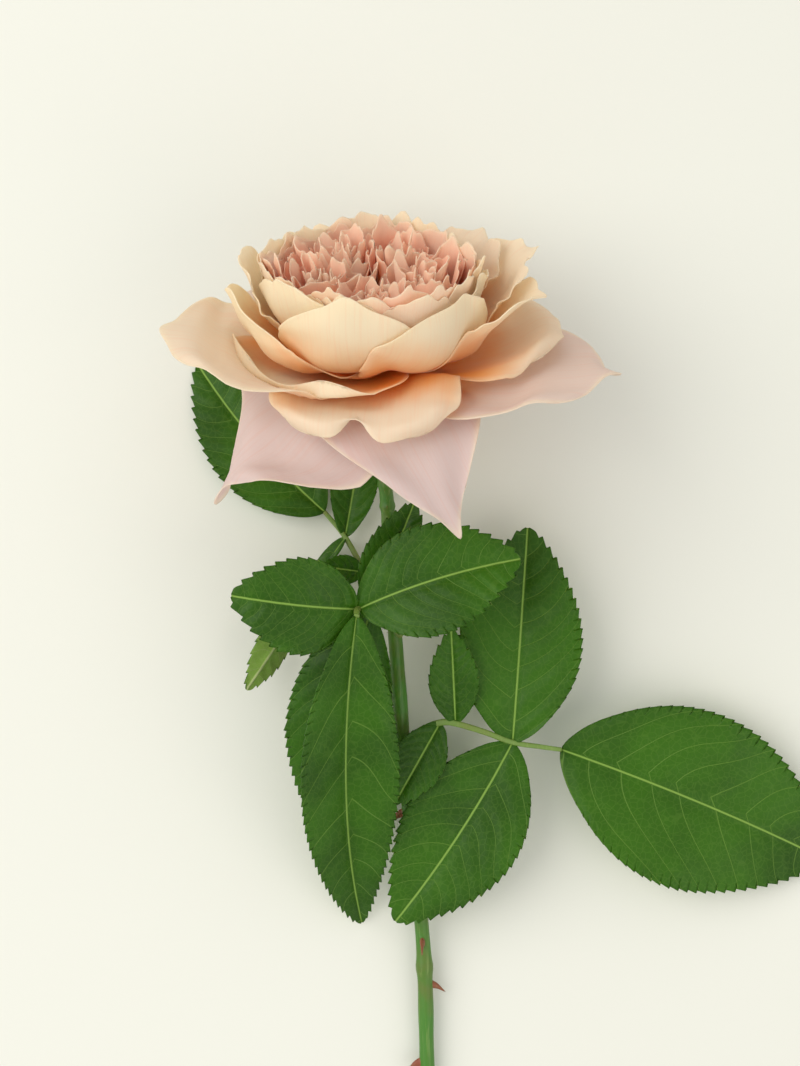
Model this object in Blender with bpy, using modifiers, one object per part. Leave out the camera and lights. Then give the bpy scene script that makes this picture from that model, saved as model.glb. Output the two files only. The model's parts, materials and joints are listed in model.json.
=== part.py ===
"""A cut garden rose lying on a table: stem with its hip and prickles, sepals, petals and three leaves.

Metres, +Z up. The flower points along +Y, the stem's cut end along -Y, and the table is z = 0. The origin
is the bottom centre of the whole rose's box. Lengths in the tables below are millimetres and angles are
degrees.
"""
import math
from dataclasses import dataclass

import bmesh
import bpy
import numpy as np
from mathutils import Vector
from mathutils.bvhtree import BVHTree

MM = 0.001

# The flower: its base is the rim of the hip, where the outer petals are attached.
FLOWER_BASE = (-33.6, 107.6, 36.4)
FLOWER_RISE = 28.0          # the flower's axis above the table
PETAL_THICKNESS = 0.4
PETAL_ROWS = 6
PETAL_COLUMNS = 6
LAYER_HEIGHT = 0.8          # each nested layer of cup petals starts this much higher
LAYER_INSET = 0.26          # and this much closer to the flower's axis
CUP_ROOT_RADIUS = 5.0
CUP_ROOT_HEIGHT = 2.6
PETAL_PITCH = 1.06        # least distance between the middles of two petals that lie on each other
PRESS_PASSES = 8

# The leaves.
LEAF_THICKNESS = 0.35
LEAF_ROWS = 11
LEAF_COLUMNS = 4
LEAFLET_GAP = 0.5           # clear space between a leaflet and its petiole

# The stem, from the hip to the cut end, as offsets from the flower's base.
STEM_ROUTE = (
    (0.3, -7.4, -4.0), (0.7, -13.0, -7.6), (2.1, -26.5, -13.6), (3.4, -40.6, -18.2),
    (4.1, -57.5, -22.0), (5.5, -76.0, -25.0), (8.4, -113.3, -29.0), (12.6, -153.7, -32.0),
    (13.7, -186.3, -33.4), (14.6, -222.0, -34.1), (15.2, -254.0, -34.3),
)
STEM_TOP_RADIUS = 1.7
STEM_END_RADIUS = 2.1
STEM_POINTS = 34

# The hip, as radius and height along the flower's axis.
HIP_PROFILE = (
    (0.0, 6.4), (1.0, 6.0), (2.0, 3.6), (3.0, 1.2), (3.8, -0.6), (4.0, -1.8),
    (4.6, -3.2), (4.8, -5.6), (4.2, -8.4), (3.0, -10.8), (1.9, -12.4), (0.0, -12.6),
)
HIP_SEGMENTS = 24


@dataclass(frozen=True)
class Petal:
    """One petal. Lean is the midrib's angle from the flower's axis, from its root to its tip."""
    name: str
    azimuth: float
    length: float
    width: float
    lean: tuple
    root: tuple
    cup: tuple = None       # how far each half curls up, root to tip; None keeps it round the flower's axis
    widest: float = 0.62
    claw: float = 0.13
    sweep: float = 0.0
    taper: float = 0.0      # how much its upper part narrows more than a half ellipse does
    point: float = 0.0
    notch: float = 0.0
    reach: float = 5.0      # how far out of place it may be before it is pressed clear of those inside
    material: str = "petal_outer"


@dataclass(frozen=True)
class Leaflet:
    """One leaflet. Heading is measured from +X towards +Y, and rise is its midrib's angle above the table."""
    name: str
    petiole: str
    station: int            # the point of the petiole that it grows from
    heading: float
    rise: float
    length: float
    width: float
    roll: float = 0.0
    bend: float = 0.0
    swing: float = 0.0
    fold: float = 12.0
    twist: float = 0.0


SPREAD = (30, 20, 6)
HALF_OPEN_PETALS = (
    Petal("petal_half_open_1", 42, 43, 34, (78, 56, 38, 36), (5.4, 1.6), (40, 40, 24)),
    Petal("petal_half_open_2", 16, 44, 34, (78, 56, 46, 44), (5.4, 1.2), (40, 40, 24)),
    Petal("petal_half_open_3", 350, 43, 34, (80, 62, 52, 50), (5.4, 0.8), (40, 40, 24)),
)
OUTER_PETALS = (
    Petal("petal_front_short", 228, 31, 48, (80, 88, 86, 86), (5.5, 0.8), (30, 30, 20)),
    Petal("petal_outer_right_upper", 2, 42, 40, (62, 74, 78, 78), (5.5, 0.4), (35, 20, 10)),
    Petal("petal_outer_left", 202, 46.5, 47, (66, 81, 79, 78), (5.6, -0.4), SPREAD, sweep=-9, taper=0.1,
          point=4, reach=8),
    Petal("petal_back_left", 122, 42.35, 44, (70, 84, 88, 90), (5.5, 0.2), SPREAD),
    Petal("petal_front_notched", 266, 38, 46, (84, 94, 106, 112), (5.6, -0.4), SPREAD, notch=7),
    Petal("petal_back_right", 70, 39.65, 44, (70, 84, 84, 84), (5.6, -0.6), SPREAD),
    Petal("petal_outer_right", 337, 51, 46, (74, 92, 92, 92), (5.6, -0.8), SPREAD, sweep=8, taper=0.1,
          point=4),
    Petal("petal_hanging_right", 283, 50, 40, (75, 105, 154, 150), (5.8, -1.6), (30, 10, -16), widest=0.46,
          sweep=15, taper=0.5, point=4, reach=8),
    Petal("petal_hanging_left", 229, 50, 52, (84, 104, 144, 140), (5.8, -3.0), (30, 20, -10), widest=0.5,
          sweep=-20, taper=0.5, point=4, reach=8),
)

# The cup: azimuth, layer, length, width and lean of each petal.
CUP_PETALS = (
    (197, 0, 42.5, 36, (84, 84, 24, 18)),
    (318, -0.4, 38.5, 37, (88, 90, 4, 0)),
    (112, 0, 41.0, 38, (86, 84, 4, 0)),
    (254, 1, 37.5, 38, (88, 92, 2, -4)),
    (170, 1, 42.0, 36, (86, 84, 14, 8)),
    (75, 1, 40.0, 38, (86, 84, 6, 0)),
    (345, 1, 37.5, 34, (86, 84, 6, 0)),
    (217, 2, 38.5, 38, (88, 84, 6, 2)),
    (140, 2, 39.0, 38, (86, 84, 6, 0)),
)

# The rings inside the cup: count, first azimuth, first layer, length, width and lean.
INNER_RINGS = (
    (5, 30, 3, 34.0, 26, (80, 70, 6, 4)),
    (5, 66, 5, 30.0, 20, (74, 50, 4, 4)),
    (3, 10, 7, 26.0, 17, (60, 30, 2, 0)),
)

SEPAL_COUNT = 5
SEPAL_LENGTH = 20.0
SEPAL_WIDTH = 6.0
SEPAL_FIRST_AZIMUTH = 30.0
SEPAL_LEAN = (146, 166, 174, 168)
SEPAL_ROOT = (5.4, -8.2)

PETIOLES = {
    "petiole_front": (
        1.1, ((6.8, -71.0, -21.6), (4.2, -69.0, -18.0), (-1.2, -65.5, -12.0), (-4.1, -64.5, -6.0),
              (-4.4, -66.2, -3.0)),
    ),
    "petiole_right": (
        0.9, ((10.2, -100.6, -27.4), (12.4, -97.0, -25.0), (17.0, -94.8, -22.6), (21.0, -95.0, -22.4),
              (28.9, -97.4, -23.0), (36.0, -100.1, -24.0), (43.4, -101.4, -25.5), (49.0, -102.3, -26.5)),
    ),
    "petiole_back": (
        0.9, ((1.6, -62.6, -25.2), (-0.4, -59.7, -27.2), (-2.8, -55.6, -29.5), (-8.1, -46.3, -31.2),
              (-13.6, -39.6, -31.8)),
    ),
}

LEAFLETS = (
    Leaflet("leaflet_front_end", "petiole_front", 4, -98, -4, 90, 29, roll=20, bend=-26, swing=26, fold=26),
    Leaflet("leaflet_front_left", "petiole_front", 3, 178, 38, 33, 25, roll=10, bend=-52, fold=8),
    Leaflet("leaflet_front_right", "petiole_front", 3, 26, 20, 43, 29, roll=10, bend=-30, swing=-12, fold=14),
    Leaflet("leaflet_front_upper", "petiole_front", 2, 67, 14, 30, 17, roll=-10, bend=-12, fold=20),
    Leaflet("leaflet_front_hanging", "petiole_front", 2, -107, -8, 62, 29, roll=-16, bend=-22, fold=14),
    Leaflet("leaflet_right_end", "petiole_right", 7, -19, 4, 78, 48, bend=-22, swing=-8, fold=10),
    Leaflet("leaflet_right_upper", "petiole_right", 5, 86, 8, 56, 33, bend=-16, fold=12),
    Leaflet("leaflet_right_lower", "petiole_right", 5, -118, 8, 56, 32, bend=-18, swing=-10, fold=10),
    Leaflet("leaflet_right_base_upper", "petiole_right", 3, 93, 20, 25, 13.5, bend=-10, fold=14),
    Leaflet("leaflet_right_base_lower", "petiole_right", 2, -120, 16, 24, 14, bend=-10, fold=14),
    Leaflet("leaflet_back_end", "petiole_back", 4, 139, 0.2, 52, 27, bend=-10, swing=-16, fold=10),
    Leaflet("leaflet_back_right", "petiole_back", 3, 80, 6, 33, 13, bend=-10, fold=14),
    Leaflet("leaflet_back_left", "petiole_back", 3, -128, 4, 48, 15, bend=-12, swing=18, fold=14, twist=-120),
    Leaflet("leaflet_back_base", "petiole_back", 2, 172, 24, 12, 8, bend=-10, fold=14),
)

# Prickles: station along the stem from 0 at the hip to 1 at the cut end, angle round the stem, length.
PRICKLES = (
    (0.17, 175, 2.0), (0.22, 190, 2.0), (0.335, 10, 1.8), (0.36, 185, 2.0), (0.395, 5, 2.2), (0.44, 178, 1.8),
    (0.58, 200, 3.6), (0.615, 180, 4.0), (0.635, 355, 2.4),
    (0.675, 5, 4.4), (0.70, 95, 4.0), (0.735, 358, 3.4),
    (0.80, 170, 4.2), (0.86, 20, 4.4), (0.91, 150, 3.8),
)
PRICKLE_BASE_RADIUS = 1.1
PRICKLE_TIP_RADIUS = 0.12


def material(name, colour, roughness):
    made = bpy.data.materials.new(name)
    made.use_nodes = True
    shader = made.node_tree.nodes["Principled BSDF"]
    shader.inputs["Base Color"].default_value = (*colour, 1.0)
    shader.inputs["Roughness"].default_value = roughness
    shader.inputs["Metallic"].default_value = 0.0
    made.diffuse_color = (*colour, 1.0)
    return made


def bezier(values, t):
    last = len(values) - 1
    return sum(math.comb(last, k) * value * t**k * (1 - t)**(last - k) for k, value in enumerate(values))


def smooth_route(points, count):
    """Points read from a Catmull-Rom curve through the given ones."""
    points = np.array(points, float)
    padded = np.vstack([2 * points[0] - points[1], points, 2 * points[-1] - points[-2]])
    spans = len(points) - 1
    route = []
    for place in np.linspace(0, spans, count):
        k = min(int(place), spans - 1)
        t = place - k
        a, b, c, d = padded[k:k + 4]
        bend = (2 * a - 5 * b + 4 * c - d) * t**2 + (3 * b - a - 3 * c + d) * t**3
        route.append(0.5 * (2 * b + (c - a) * t + bend))
    return np.array(route)


def tube(name, points, radii, resolution=2):
    """A round tapering tube through points given in millimetres."""
    curve = bpy.data.curves.new(name, "CURVE")
    curve.dimensions = "3D"
    curve.bevel_depth = MM
    curve.bevel_resolution = resolution
    curve.use_fill_caps = True
    spline = curve.splines.new("POLY")
    spline.points.add(len(points) - 1)
    for corner, point, radius in zip(spline.points, points, radii):
        corner.co = (*(Vector(point) * MM), 1.0)
        corner.radius = radius
    return bpy.data.objects.new(name, curve)


def as_mesh(obj, collection):
    """Replaces a curve object by the closed mesh that it draws."""
    collection.objects.link(obj)
    bpy.context.view_layer.update()
    mesh = bpy.data.meshes.new_from_object(obj.evaluated_get(bpy.context.evaluated_depsgraph_get()))
    welded = bmesh.new()
    welded.from_mesh(mesh)
    bmesh.ops.remove_doubles(welded, verts=welded.verts, dist=0.00001)
    bmesh.ops.recalc_face_normals(welded, faces=welded.faces)
    welded.to_mesh(mesh)
    welded.free()
    solid = bpy.data.objects.new(obj.name + "_solid", mesh)
    solid.matrix_world = obj.matrix_world
    curve = obj.data
    bpy.data.objects.remove(obj)
    bpy.data.curves.remove(curve)
    collection.objects.link(solid)
    return solid


def grid_cells(columns, rows):
    """A grid's corners, from -1 to 1 both ways, and its faces."""
    grid = bmesh.new()
    bmesh.ops.create_grid(grid, x_segments=columns, y_segments=rows, size=1.0)
    corners = np.array([vertex.co[:2] for vertex in grid.verts])
    faces = np.array([[vertex.index for vertex in face.verts] for face in grid.faces])
    grid.free()
    return corners, faces


def sheet(name, columns, rows, places, thickness, look):
    """A grid whose corners are moved to the given places, in millimetres, and made a closed skin."""
    grid = bmesh.new()
    bmesh.ops.create_grid(grid, x_segments=columns, y_segments=rows, size=1.0)
    for vertex, place in zip(grid.verts, places):
        vertex.co = place * MM
    mesh = bpy.data.meshes.new(name)
    grid.to_mesh(mesh)
    grid.free()
    mesh.shade_smooth()
    mesh.materials.append(look)
    skin = bpy.data.objects.new(name, mesh)
    solidify = skin.modifiers.new("thickness", "SOLIDIFY")
    solidify.thickness = thickness * MM
    solidify.offset = 0.0
    return skin


def petal_shape(plan, across, along):
    """Places on a petal whose azimuth is zero, in the flower's own frame (+Z is the flower's axis)."""
    low = np.minimum(along, 0) + 1
    high = np.maximum(along, 0)
    x = across * np.sqrt(1 - high**2 / 2)
    y = high * np.sqrt(1 - across**2 / 2)
    half = plan.width / 2
    side = half * x * (1 - plan.taper * y) * (plan.claw + (1 - plan.claw) * np.sin(low * math.pi / 2)**1.1)
    tip = (plan.point * np.exp(-(x / 0.2)**2) - plan.notch * np.exp(-(x / 0.24)**2)) * y**4
    share = plan.widest * low + (1 - plan.widest) * y + tip / plan.length

    steps = np.linspace(0, 1.3, 66)
    leans = np.radians(bezier(plan.lean, np.minimum(steps, 1)))
    middle = (leans[1:] + leans[:-1]) / 2
    stride = plan.length * steps[1]
    radius = np.interp(share, steps, plan.root[0] + np.append(0, np.cumsum(np.sin(middle) * stride)))
    height = np.interp(share, steps, plan.root[1] + np.append(0, np.cumsum(np.cos(middle) * stride)))
    lean = np.interp(share, steps, leans)

    if plan.cup is None:
        curl = half / radius
    else:
        curl = np.radians(bezier(plan.cup, np.clip(share, 0, 1)))
        curl = np.where(np.abs(curl) < 0.001, 0.001, curl)
    turn = curl * side / half
    offset = half * np.sin(turn) / curl
    raised = half * (1 - np.cos(turn)) / curl
    azimuth = np.radians(plan.sweep) * share**1.5
    outward = np.stack([np.cos(azimuth), np.sin(azimuth)], -1)
    around = np.stack([-np.sin(azimuth), np.cos(azimuth)], -1)
    flat = outward * (radius - raised * np.cos(lean))[:, None] + around * offset[:, None]
    return np.column_stack([flat, height + raised * np.sin(lean)])


# Five points inside a face, as shares of its four corners.
FACE_SHARES = np.array([
    (0.25, 0.25, 0.25, 0.25), (0.56, 0.19, 0.06, 0.19), (0.19, 0.56, 0.19, 0.06), (0.06, 0.19, 0.56, 0.19),
    (0.19, 0.06, 0.19, 0.56),
])


def petal_places(plan, grid):
    """Where the grid's corners go on a petal, turned to its azimuth round the flower's axis."""
    places = petal_shape(plan, grid[:, 0], grid[:, 1])
    turn = math.radians(plan.azimuth)
    x, y = places[:, 0].copy(), places[:, 1].copy()
    places[:, 0] = x * math.cos(turn) - y * math.sin(turn)
    places[:, 1] = x * math.sin(turn) + y * math.cos(turn)
    return places


def outer_normals(places, faces):
    """Each corner's unit normal on a petal's outer side, and each face's."""
    corners = places[faces]
    flat = np.cross(corners[:, 2] - corners[:, 0], corners[:, 3] - corners[:, 1])
    summed = np.zeros_like(places)
    for k in range(4):
        np.add.at(summed, faces[:, k], flat)
    return (normals / np.linalg.norm(normals, axis=1, keepdims=True) for normals in (summed, flat))


def press_outward(places, faces, inside, reach):
    """Moves a petal's corners outward until it lies clear of the petals inside it."""
    for _ in range(PRESS_PASSES):
        corner_normals, face_normals = outer_normals(places, faces)
        push = np.zeros(len(places))
        samples = [(place, normal, [k]) for k, (place, normal) in enumerate(zip(places, corner_normals))]
        for face, normal in zip(faces, face_normals):
            samples += [(share @ places[face], normal, face) for share in FACE_SHARES]
        for place, normal, corners in samples:
            start = Vector(place + normal * reach)
            distance = inside.ray_cast(start, Vector(-normal), reach + PETAL_PITCH)[3]
            if distance is not None:
                push[corners] = np.maximum(push[corners], reach + PETAL_PITCH - distance)
        if push.max() < 0.02:
            break
        eased = push.copy()
        for face in faces:
            eased[face] = np.maximum(eased[face], 0.6 * push[face].max())
        places = places + corner_normals * eased[:, None]
    return places


def add_petals(flower, looks, collection):
    """Petals from the flower's heart outward, each pressed clear of the ones inside it."""
    grid, faces = grid_cells(PETAL_COLUMNS, PETAL_ROWS)
    placed_corners = []
    placed_faces = []
    for plan in all_petals():
        places = petal_places(plan, grid)
        if placed_corners and plan.reach:
            inside = BVHTree.FromPolygons(placed_corners, placed_faces)
            places = press_outward(places, faces, inside, plan.reach)
        placed_faces += [[len(placed_corners) + int(k) for k in face] for face in faces]
        placed_corners += places.tolist()
        petal = sheet(plan.name, PETAL_COLUMNS, PETAL_ROWS, places, PETAL_THICKNESS, looks[plan.material])
        petal.parent = flower
        collection.objects.link(petal)


def nested_petal(name, azimuth, layer, length, width, lean, look):
    root = (CUP_ROOT_RADIUS - LAYER_INSET * layer, CUP_ROOT_HEIGHT + LAYER_HEIGHT * layer)
    return Petal(name, azimuth, length, width, lean, root, material=look)


def all_petals():
    """Every petal and sepal, from the flower's heart outward."""
    number = 0
    for count, first, layer, length, width, lean in reversed(INNER_RINGS):
        for k in range(count):
            number += 1
            azimuth = first + k * 360 / count
            name = f"petal_inner_{number}"
            yield nested_petal(name, azimuth, layer + (k + 1) % 2, length, width, lean, "petal_inner")
    for number, row in enumerate(reversed(CUP_PETALS), 1):
        yield nested_petal(f"petal_cup_{number}", *row, "petal_cup")
    yield from HALF_OPEN_PETALS
    yield from OUTER_PETALS
    for k in range(SEPAL_COUNT):
        azimuth = SEPAL_FIRST_AZIMUTH + k * 360 / SEPAL_COUNT
        yield Petal(f"sepal_{k + 1}", azimuth, SEPAL_LENGTH, SEPAL_WIDTH, SEPAL_LEAN, SEPAL_ROOT,
                    (50, 40, 20), widest=0.3, claw=0.6, point=4, reach=0, material="sepal")


def leaf_width(share):
    """A rose leaflet's half width along its midrib, as a share of its widest."""
    return 0.03 + 0.97 * np.sin(math.pi * np.clip(share, 0, 1)**0.87)**0.8


def leaflet_shape(plan, foot, across, along):
    """Places on a leaflet, as offsets from the flower's base."""
    heading = math.radians(plan.heading)
    rise = math.radians(plan.rise)
    level = math.cos(rise)
    forward = np.array([math.cos(heading) * level, math.sin(heading) * level, math.sin(rise)])
    right = np.cross(forward, (0, 0, 1))
    right = right / np.linalg.norm(right)
    up = np.cross(right, forward)
    roll = math.radians(plan.roll)
    right, up = (right * math.cos(roll) + up * math.sin(roll),
                 up * math.cos(roll) - right * math.sin(roll))

    steps = 40
    bend, swing, twist = (math.radians(angle) / steps for angle in (plan.bend, plan.swing, plan.twist))
    place = foot + forward * LEAFLET_GAP
    rows = [(*place, *right, *up)]
    for _ in range(steps):
        forward, up = (forward * math.cos(bend) + up * math.sin(bend),
                       up * math.cos(bend) - forward * math.sin(bend))
        forward, right = (forward * math.cos(swing) - right * math.sin(swing),
                          right * math.cos(swing) + forward * math.sin(swing))
        right, up = (right * math.cos(twist) + up * math.sin(twist),
                     up * math.cos(twist) - right * math.sin(twist))
        place = place + forward * plan.length / steps
        rows.append((*place, *right, *up))
    share = 0.5 - 0.5 * np.cos((along + 1) * math.pi / 2)
    rows = np.array(rows)
    path = np.column_stack([np.interp(share, np.linspace(0, 1, steps + 1), rows[:, k]) for k in range(9)])
    side = across * plan.width / 2 * leaf_width(share)
    fold = math.radians(plan.fold)
    raised = np.abs(side) * math.sin(fold) * (1 - 0.35 * np.abs(across))
    return path[:, 0:3] + path[:, 3:6] * (side * math.cos(fold))[:, None] + path[:, 6:9] * raised[:, None]


def add_leaflet(plan, plant, looks, collection):
    radius, points = PETIOLES[plan.petiole]
    heading = math.radians(plan.heading)
    start = np.array(points[plan.station])
    if plan.station < len(points) - 1:
        start = start + radius * np.array([math.cos(heading), math.sin(heading), 0])
    grid, _ = grid_cells(LEAF_COLUMNS, LEAF_ROWS)
    places = leaflet_shape(plan, start, grid[:, 0], grid[:, 1])
    leaflet = sheet(plan.name, LEAF_COLUMNS, LEAF_ROWS, places, LEAF_THICKNESS, looks["leaf"])
    leaflet.parent = plant
    collection.objects.link(leaflet)


def add_petiole(name, plant, looks, collection):
    radius, points = PETIOLES[name]
    route = smooth_route(points, 3 * len(points))
    radii = np.linspace(radius * 1.25, radius * 0.75, len(route))
    petiole = tube(name, route, radii)
    petiole.data.materials.append(looks["petiole"])
    petiole.parent = plant
    collection.objects.link(petiole)


def add_hip(flower, cutters):
    """The hip's outline, turned round the flower's axis."""
    outline = bmesh.new()
    corners = [outline.verts.new((radius * MM, 0.0, height * MM)) for radius, height in HIP_PROFILE]
    for upper, lower in zip(corners, corners[1:]):
        outline.edges.new((upper, lower))
    mesh = bpy.data.meshes.new("hip")
    outline.to_mesh(mesh)
    outline.free()
    hip = bpy.data.objects.new("hip", mesh)
    turned = hip.modifiers.new("turned", "SCREW")
    turned.steps = HIP_SEGMENTS
    turned.render_steps = HIP_SEGMENTS
    turned.use_merge_vertices = True
    turned.merge_threshold = 0.00001
    hip.parent = flower
    cutters.objects.link(hip)
    return hip


def prickle_route(route, station, angle, length):
    """A prickle grows out of the stem and hooks back towards the cut end."""
    place = station * (len(route) - 1)
    k = int(place)
    centre = route[k] + (route[k + 1] - route[k]) * (place - k)
    down = route[k + 1] - route[k]
    down = down / np.linalg.norm(down)
    right = np.cross(down, (0, 0, 1))
    right = -right / np.linalg.norm(right)
    up = np.cross(down, right)
    out = right * math.cos(math.radians(angle)) + up * math.sin(math.radians(angle))
    stem_radius = STEM_TOP_RADIUS + (STEM_END_RADIUS - STEM_TOP_RADIUS) * station
    reach = (stem_radius * 0.4, stem_radius + length * 0.25, stem_radius + length * 0.7, stem_radius + length)
    droop = (-0.1, 0.05, 0.3, 0.75)
    return [centre + out * r + down * d * length for r, d in zip(reach, droop)]


def add_stem(plant, flower, looks, collection, cutters):
    route = smooth_route(STEM_ROUTE, STEM_POINTS)
    radii = np.linspace(STEM_TOP_RADIUS, STEM_END_RADIUS, len(route))
    stem = as_mesh(tube("stem", route, radii), collection)
    stem.name = "stem"
    stem.parent = plant
    stem.data.materials.append(looks["stem"])
    add_hip(flower, cutters)
    scale = np.array([1.0, 0.72, 0.4, PRICKLE_TIP_RADIUS]) * PRICKLE_BASE_RADIUS
    for number, (station, angle, length) in enumerate(PRICKLES, 1):
        points = prickle_route(route, station, angle, length)
        prickle = as_mesh(tube(f"prickle_{number}", points, scale * (0.55 + length / 9), 1), cutters)
        prickle.parent = plant
    for joined in cutters.objects:
        joined.hide_render = True
        joined.display_type = "WIRE"
    union = stem.modifiers.new("hip_and_prickles", "BOOLEAN")
    union.operation = "UNION"
    union.solver = "EXACT"
    union.operand_type = "COLLECTION"
    union.collection = cutters


def empty(name, parent, collection):
    handle = bpy.data.objects.new(name, None)
    handle.parent = parent
    collection.objects.link(handle)
    return handle


def main():
    for old in list(bpy.data.objects):
        bpy.data.objects.remove(old)
    rose = bpy.data.collections.new("cut_rose")
    cutters = bpy.data.collections.new("cutters")
    bpy.context.scene.collection.children.link(rose)
    bpy.context.scene.collection.children.link(cutters)
    looks = {
        "petal_outer": material("petal_outer", (0.88, 0.62, 0.50), 0.55),
        "petal_cup": material("petal_cup", (0.90, 0.72, 0.47), 0.55),
        "petal_inner": material("petal_inner", (0.88, 0.55, 0.42), 0.55),
        "sepal": material("sepal", (0.13, 0.26, 0.07), 0.6),
        "stem": material("stem", (0.16, 0.30, 0.12), 0.5),
        "petiole": material("petiole", (0.18, 0.33, 0.10), 0.5),
        "leaf": material("leaf", (0.03, 0.15, 0.02), 0.45),
    }

    plant = empty("plant", None, rose)
    plant.location = Vector(FLOWER_BASE) * MM
    flower = empty("flower", plant, rose)
    flower.rotation_euler = (math.radians(FLOWER_RISE - 90.0), 0.0, 0.0)

    add_stem(plant, flower, looks, rose, cutters)
    add_petals(flower, looks, rose)
    for name in PETIOLES:
        add_petiole(name, plant, looks, rose)
    for plan in LEAFLETS:
        add_leaflet(plan, plant, looks, rose)


main()
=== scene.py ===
"""A cut garden rose lying on a pale table: its bloom, three compound leaves and a prickly stem.

Run as a script. Each operator makes one kind of piece, and the panel lists them in the order of their making.
Lengths in the tables are millimetres and angles are degrees. The flower's own frame has its base at the
origin, +Z along its axis, azimuth 0 towards the row's +X and azimuth 270 towards the viewer.
"""

import json
import math
from dataclasses import dataclass, replace

import bmesh
import bpy
import numpy as np
from mathutils import Matrix, Vector
from mathutils.bvhtree import BVHTree

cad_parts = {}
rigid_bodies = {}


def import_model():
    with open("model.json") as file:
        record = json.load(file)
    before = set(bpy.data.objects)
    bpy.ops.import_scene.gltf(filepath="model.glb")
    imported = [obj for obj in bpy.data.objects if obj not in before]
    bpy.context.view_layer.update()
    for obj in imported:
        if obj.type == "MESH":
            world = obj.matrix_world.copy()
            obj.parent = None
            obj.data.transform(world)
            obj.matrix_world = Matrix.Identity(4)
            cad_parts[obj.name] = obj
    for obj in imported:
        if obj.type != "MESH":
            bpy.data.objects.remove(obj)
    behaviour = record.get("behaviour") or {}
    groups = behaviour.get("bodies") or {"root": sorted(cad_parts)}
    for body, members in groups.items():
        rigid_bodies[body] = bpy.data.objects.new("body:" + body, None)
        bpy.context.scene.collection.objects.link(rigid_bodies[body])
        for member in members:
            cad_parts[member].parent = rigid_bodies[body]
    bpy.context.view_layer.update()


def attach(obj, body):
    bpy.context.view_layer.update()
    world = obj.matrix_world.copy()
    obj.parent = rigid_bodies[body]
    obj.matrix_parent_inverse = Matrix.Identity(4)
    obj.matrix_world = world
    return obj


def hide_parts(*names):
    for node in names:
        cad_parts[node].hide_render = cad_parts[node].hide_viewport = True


bl_info = {
    "name": "Cut garden rose",
    "version": (1, 0, 0),
    "blender": (4, 5, 0),
    "location": "3D View > Sidebar > Rose",
    "description": "Petals, leaves and stem of a cut garden rose, and the table that it lies on",
    "category": "Add Mesh",
}

for old in list(bpy.data.objects):
    bpy.data.objects.remove(old)
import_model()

MM = 0.001

# ---------------------------------------------------------------- the rose's sizes, as in its CAD source

FLOWER_BASE = (-33.6, 107.6, 36.4)
FLOWER_RISE = 28.0
LAYER_HEIGHT = 0.8
LAYER_INSET = 0.26
CUP_ROOT_RADIUS = 5.0
CUP_ROOT_HEIGHT = 2.6
GUIDE_CELLS = 6             # each way on the coarse petals that settle how the real ones lie on each other
GUIDE_PITCH = 1.06
GUIDE_PASSES = 8


@dataclass(frozen=True)
class Petal:
    """One petal. Lean is the midrib's angle from the flower's axis, from its root to its tip."""
    name: str
    azimuth: float
    length: float
    width: float
    lean: tuple
    root: tuple
    cup: tuple = None       # how far each half curls up, root to tip; None keeps it round the flower's axis
    widest: float = 0.62
    claw: float = 0.13
    sweep: float = 0.0
    taper: float = 0.0      # how much its upper part narrows more than a half ellipse does
    point: float = 0.0
    notch: float = 0.0
    reach: float = 5.0
    kind: str = "outer"


@dataclass(frozen=True)
class Margin:
    """What a petal's edge does. Rolls are (place round the edge, spread, angle, width). Place -90 is the left
    foot of the edge, 0 its tip and 90 the right foot, seen from inside. A positive roll turns it outward."""
    rolls: tuple = ()
    wave: float = 0.5       # height of the edge's waves
    waves: float = 4.0
    torn: float = 0.5       # how deep the tip's small points are
    blush: float = 0.3      # 0 is cream, 1 is lilac pink
    glow: float = 1.0       # how far the apricot base reaches up
    swell: float = 0.35     # height of the soft folds that run along it
    peak: float = 0.0       # how far its tip stands out in a point
    cleft: float = 0.0      # depth of the cleft that parts its tip in two
    narrow: float = 0.0     # how much more its upper part narrows
    claw: float = 0.45      # breadth of its foot
    lop: float = 0.0        # how much broader its right half is than its left, seen from inside
    skew: float = 0.0       # how much further its right half reaches than its left
    span: float = 1.0       # its length, as a share of the CAD petal's
    breadth: float = 1.0    # its width, as a share of the CAD petal's
    lean: tuple = ()        # its own lean and cup, where they differ from the CAD petal's
    cup: tuple = ()
    turn: float = 0.0       # how far round the flower it stands from the CAD petal


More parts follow.
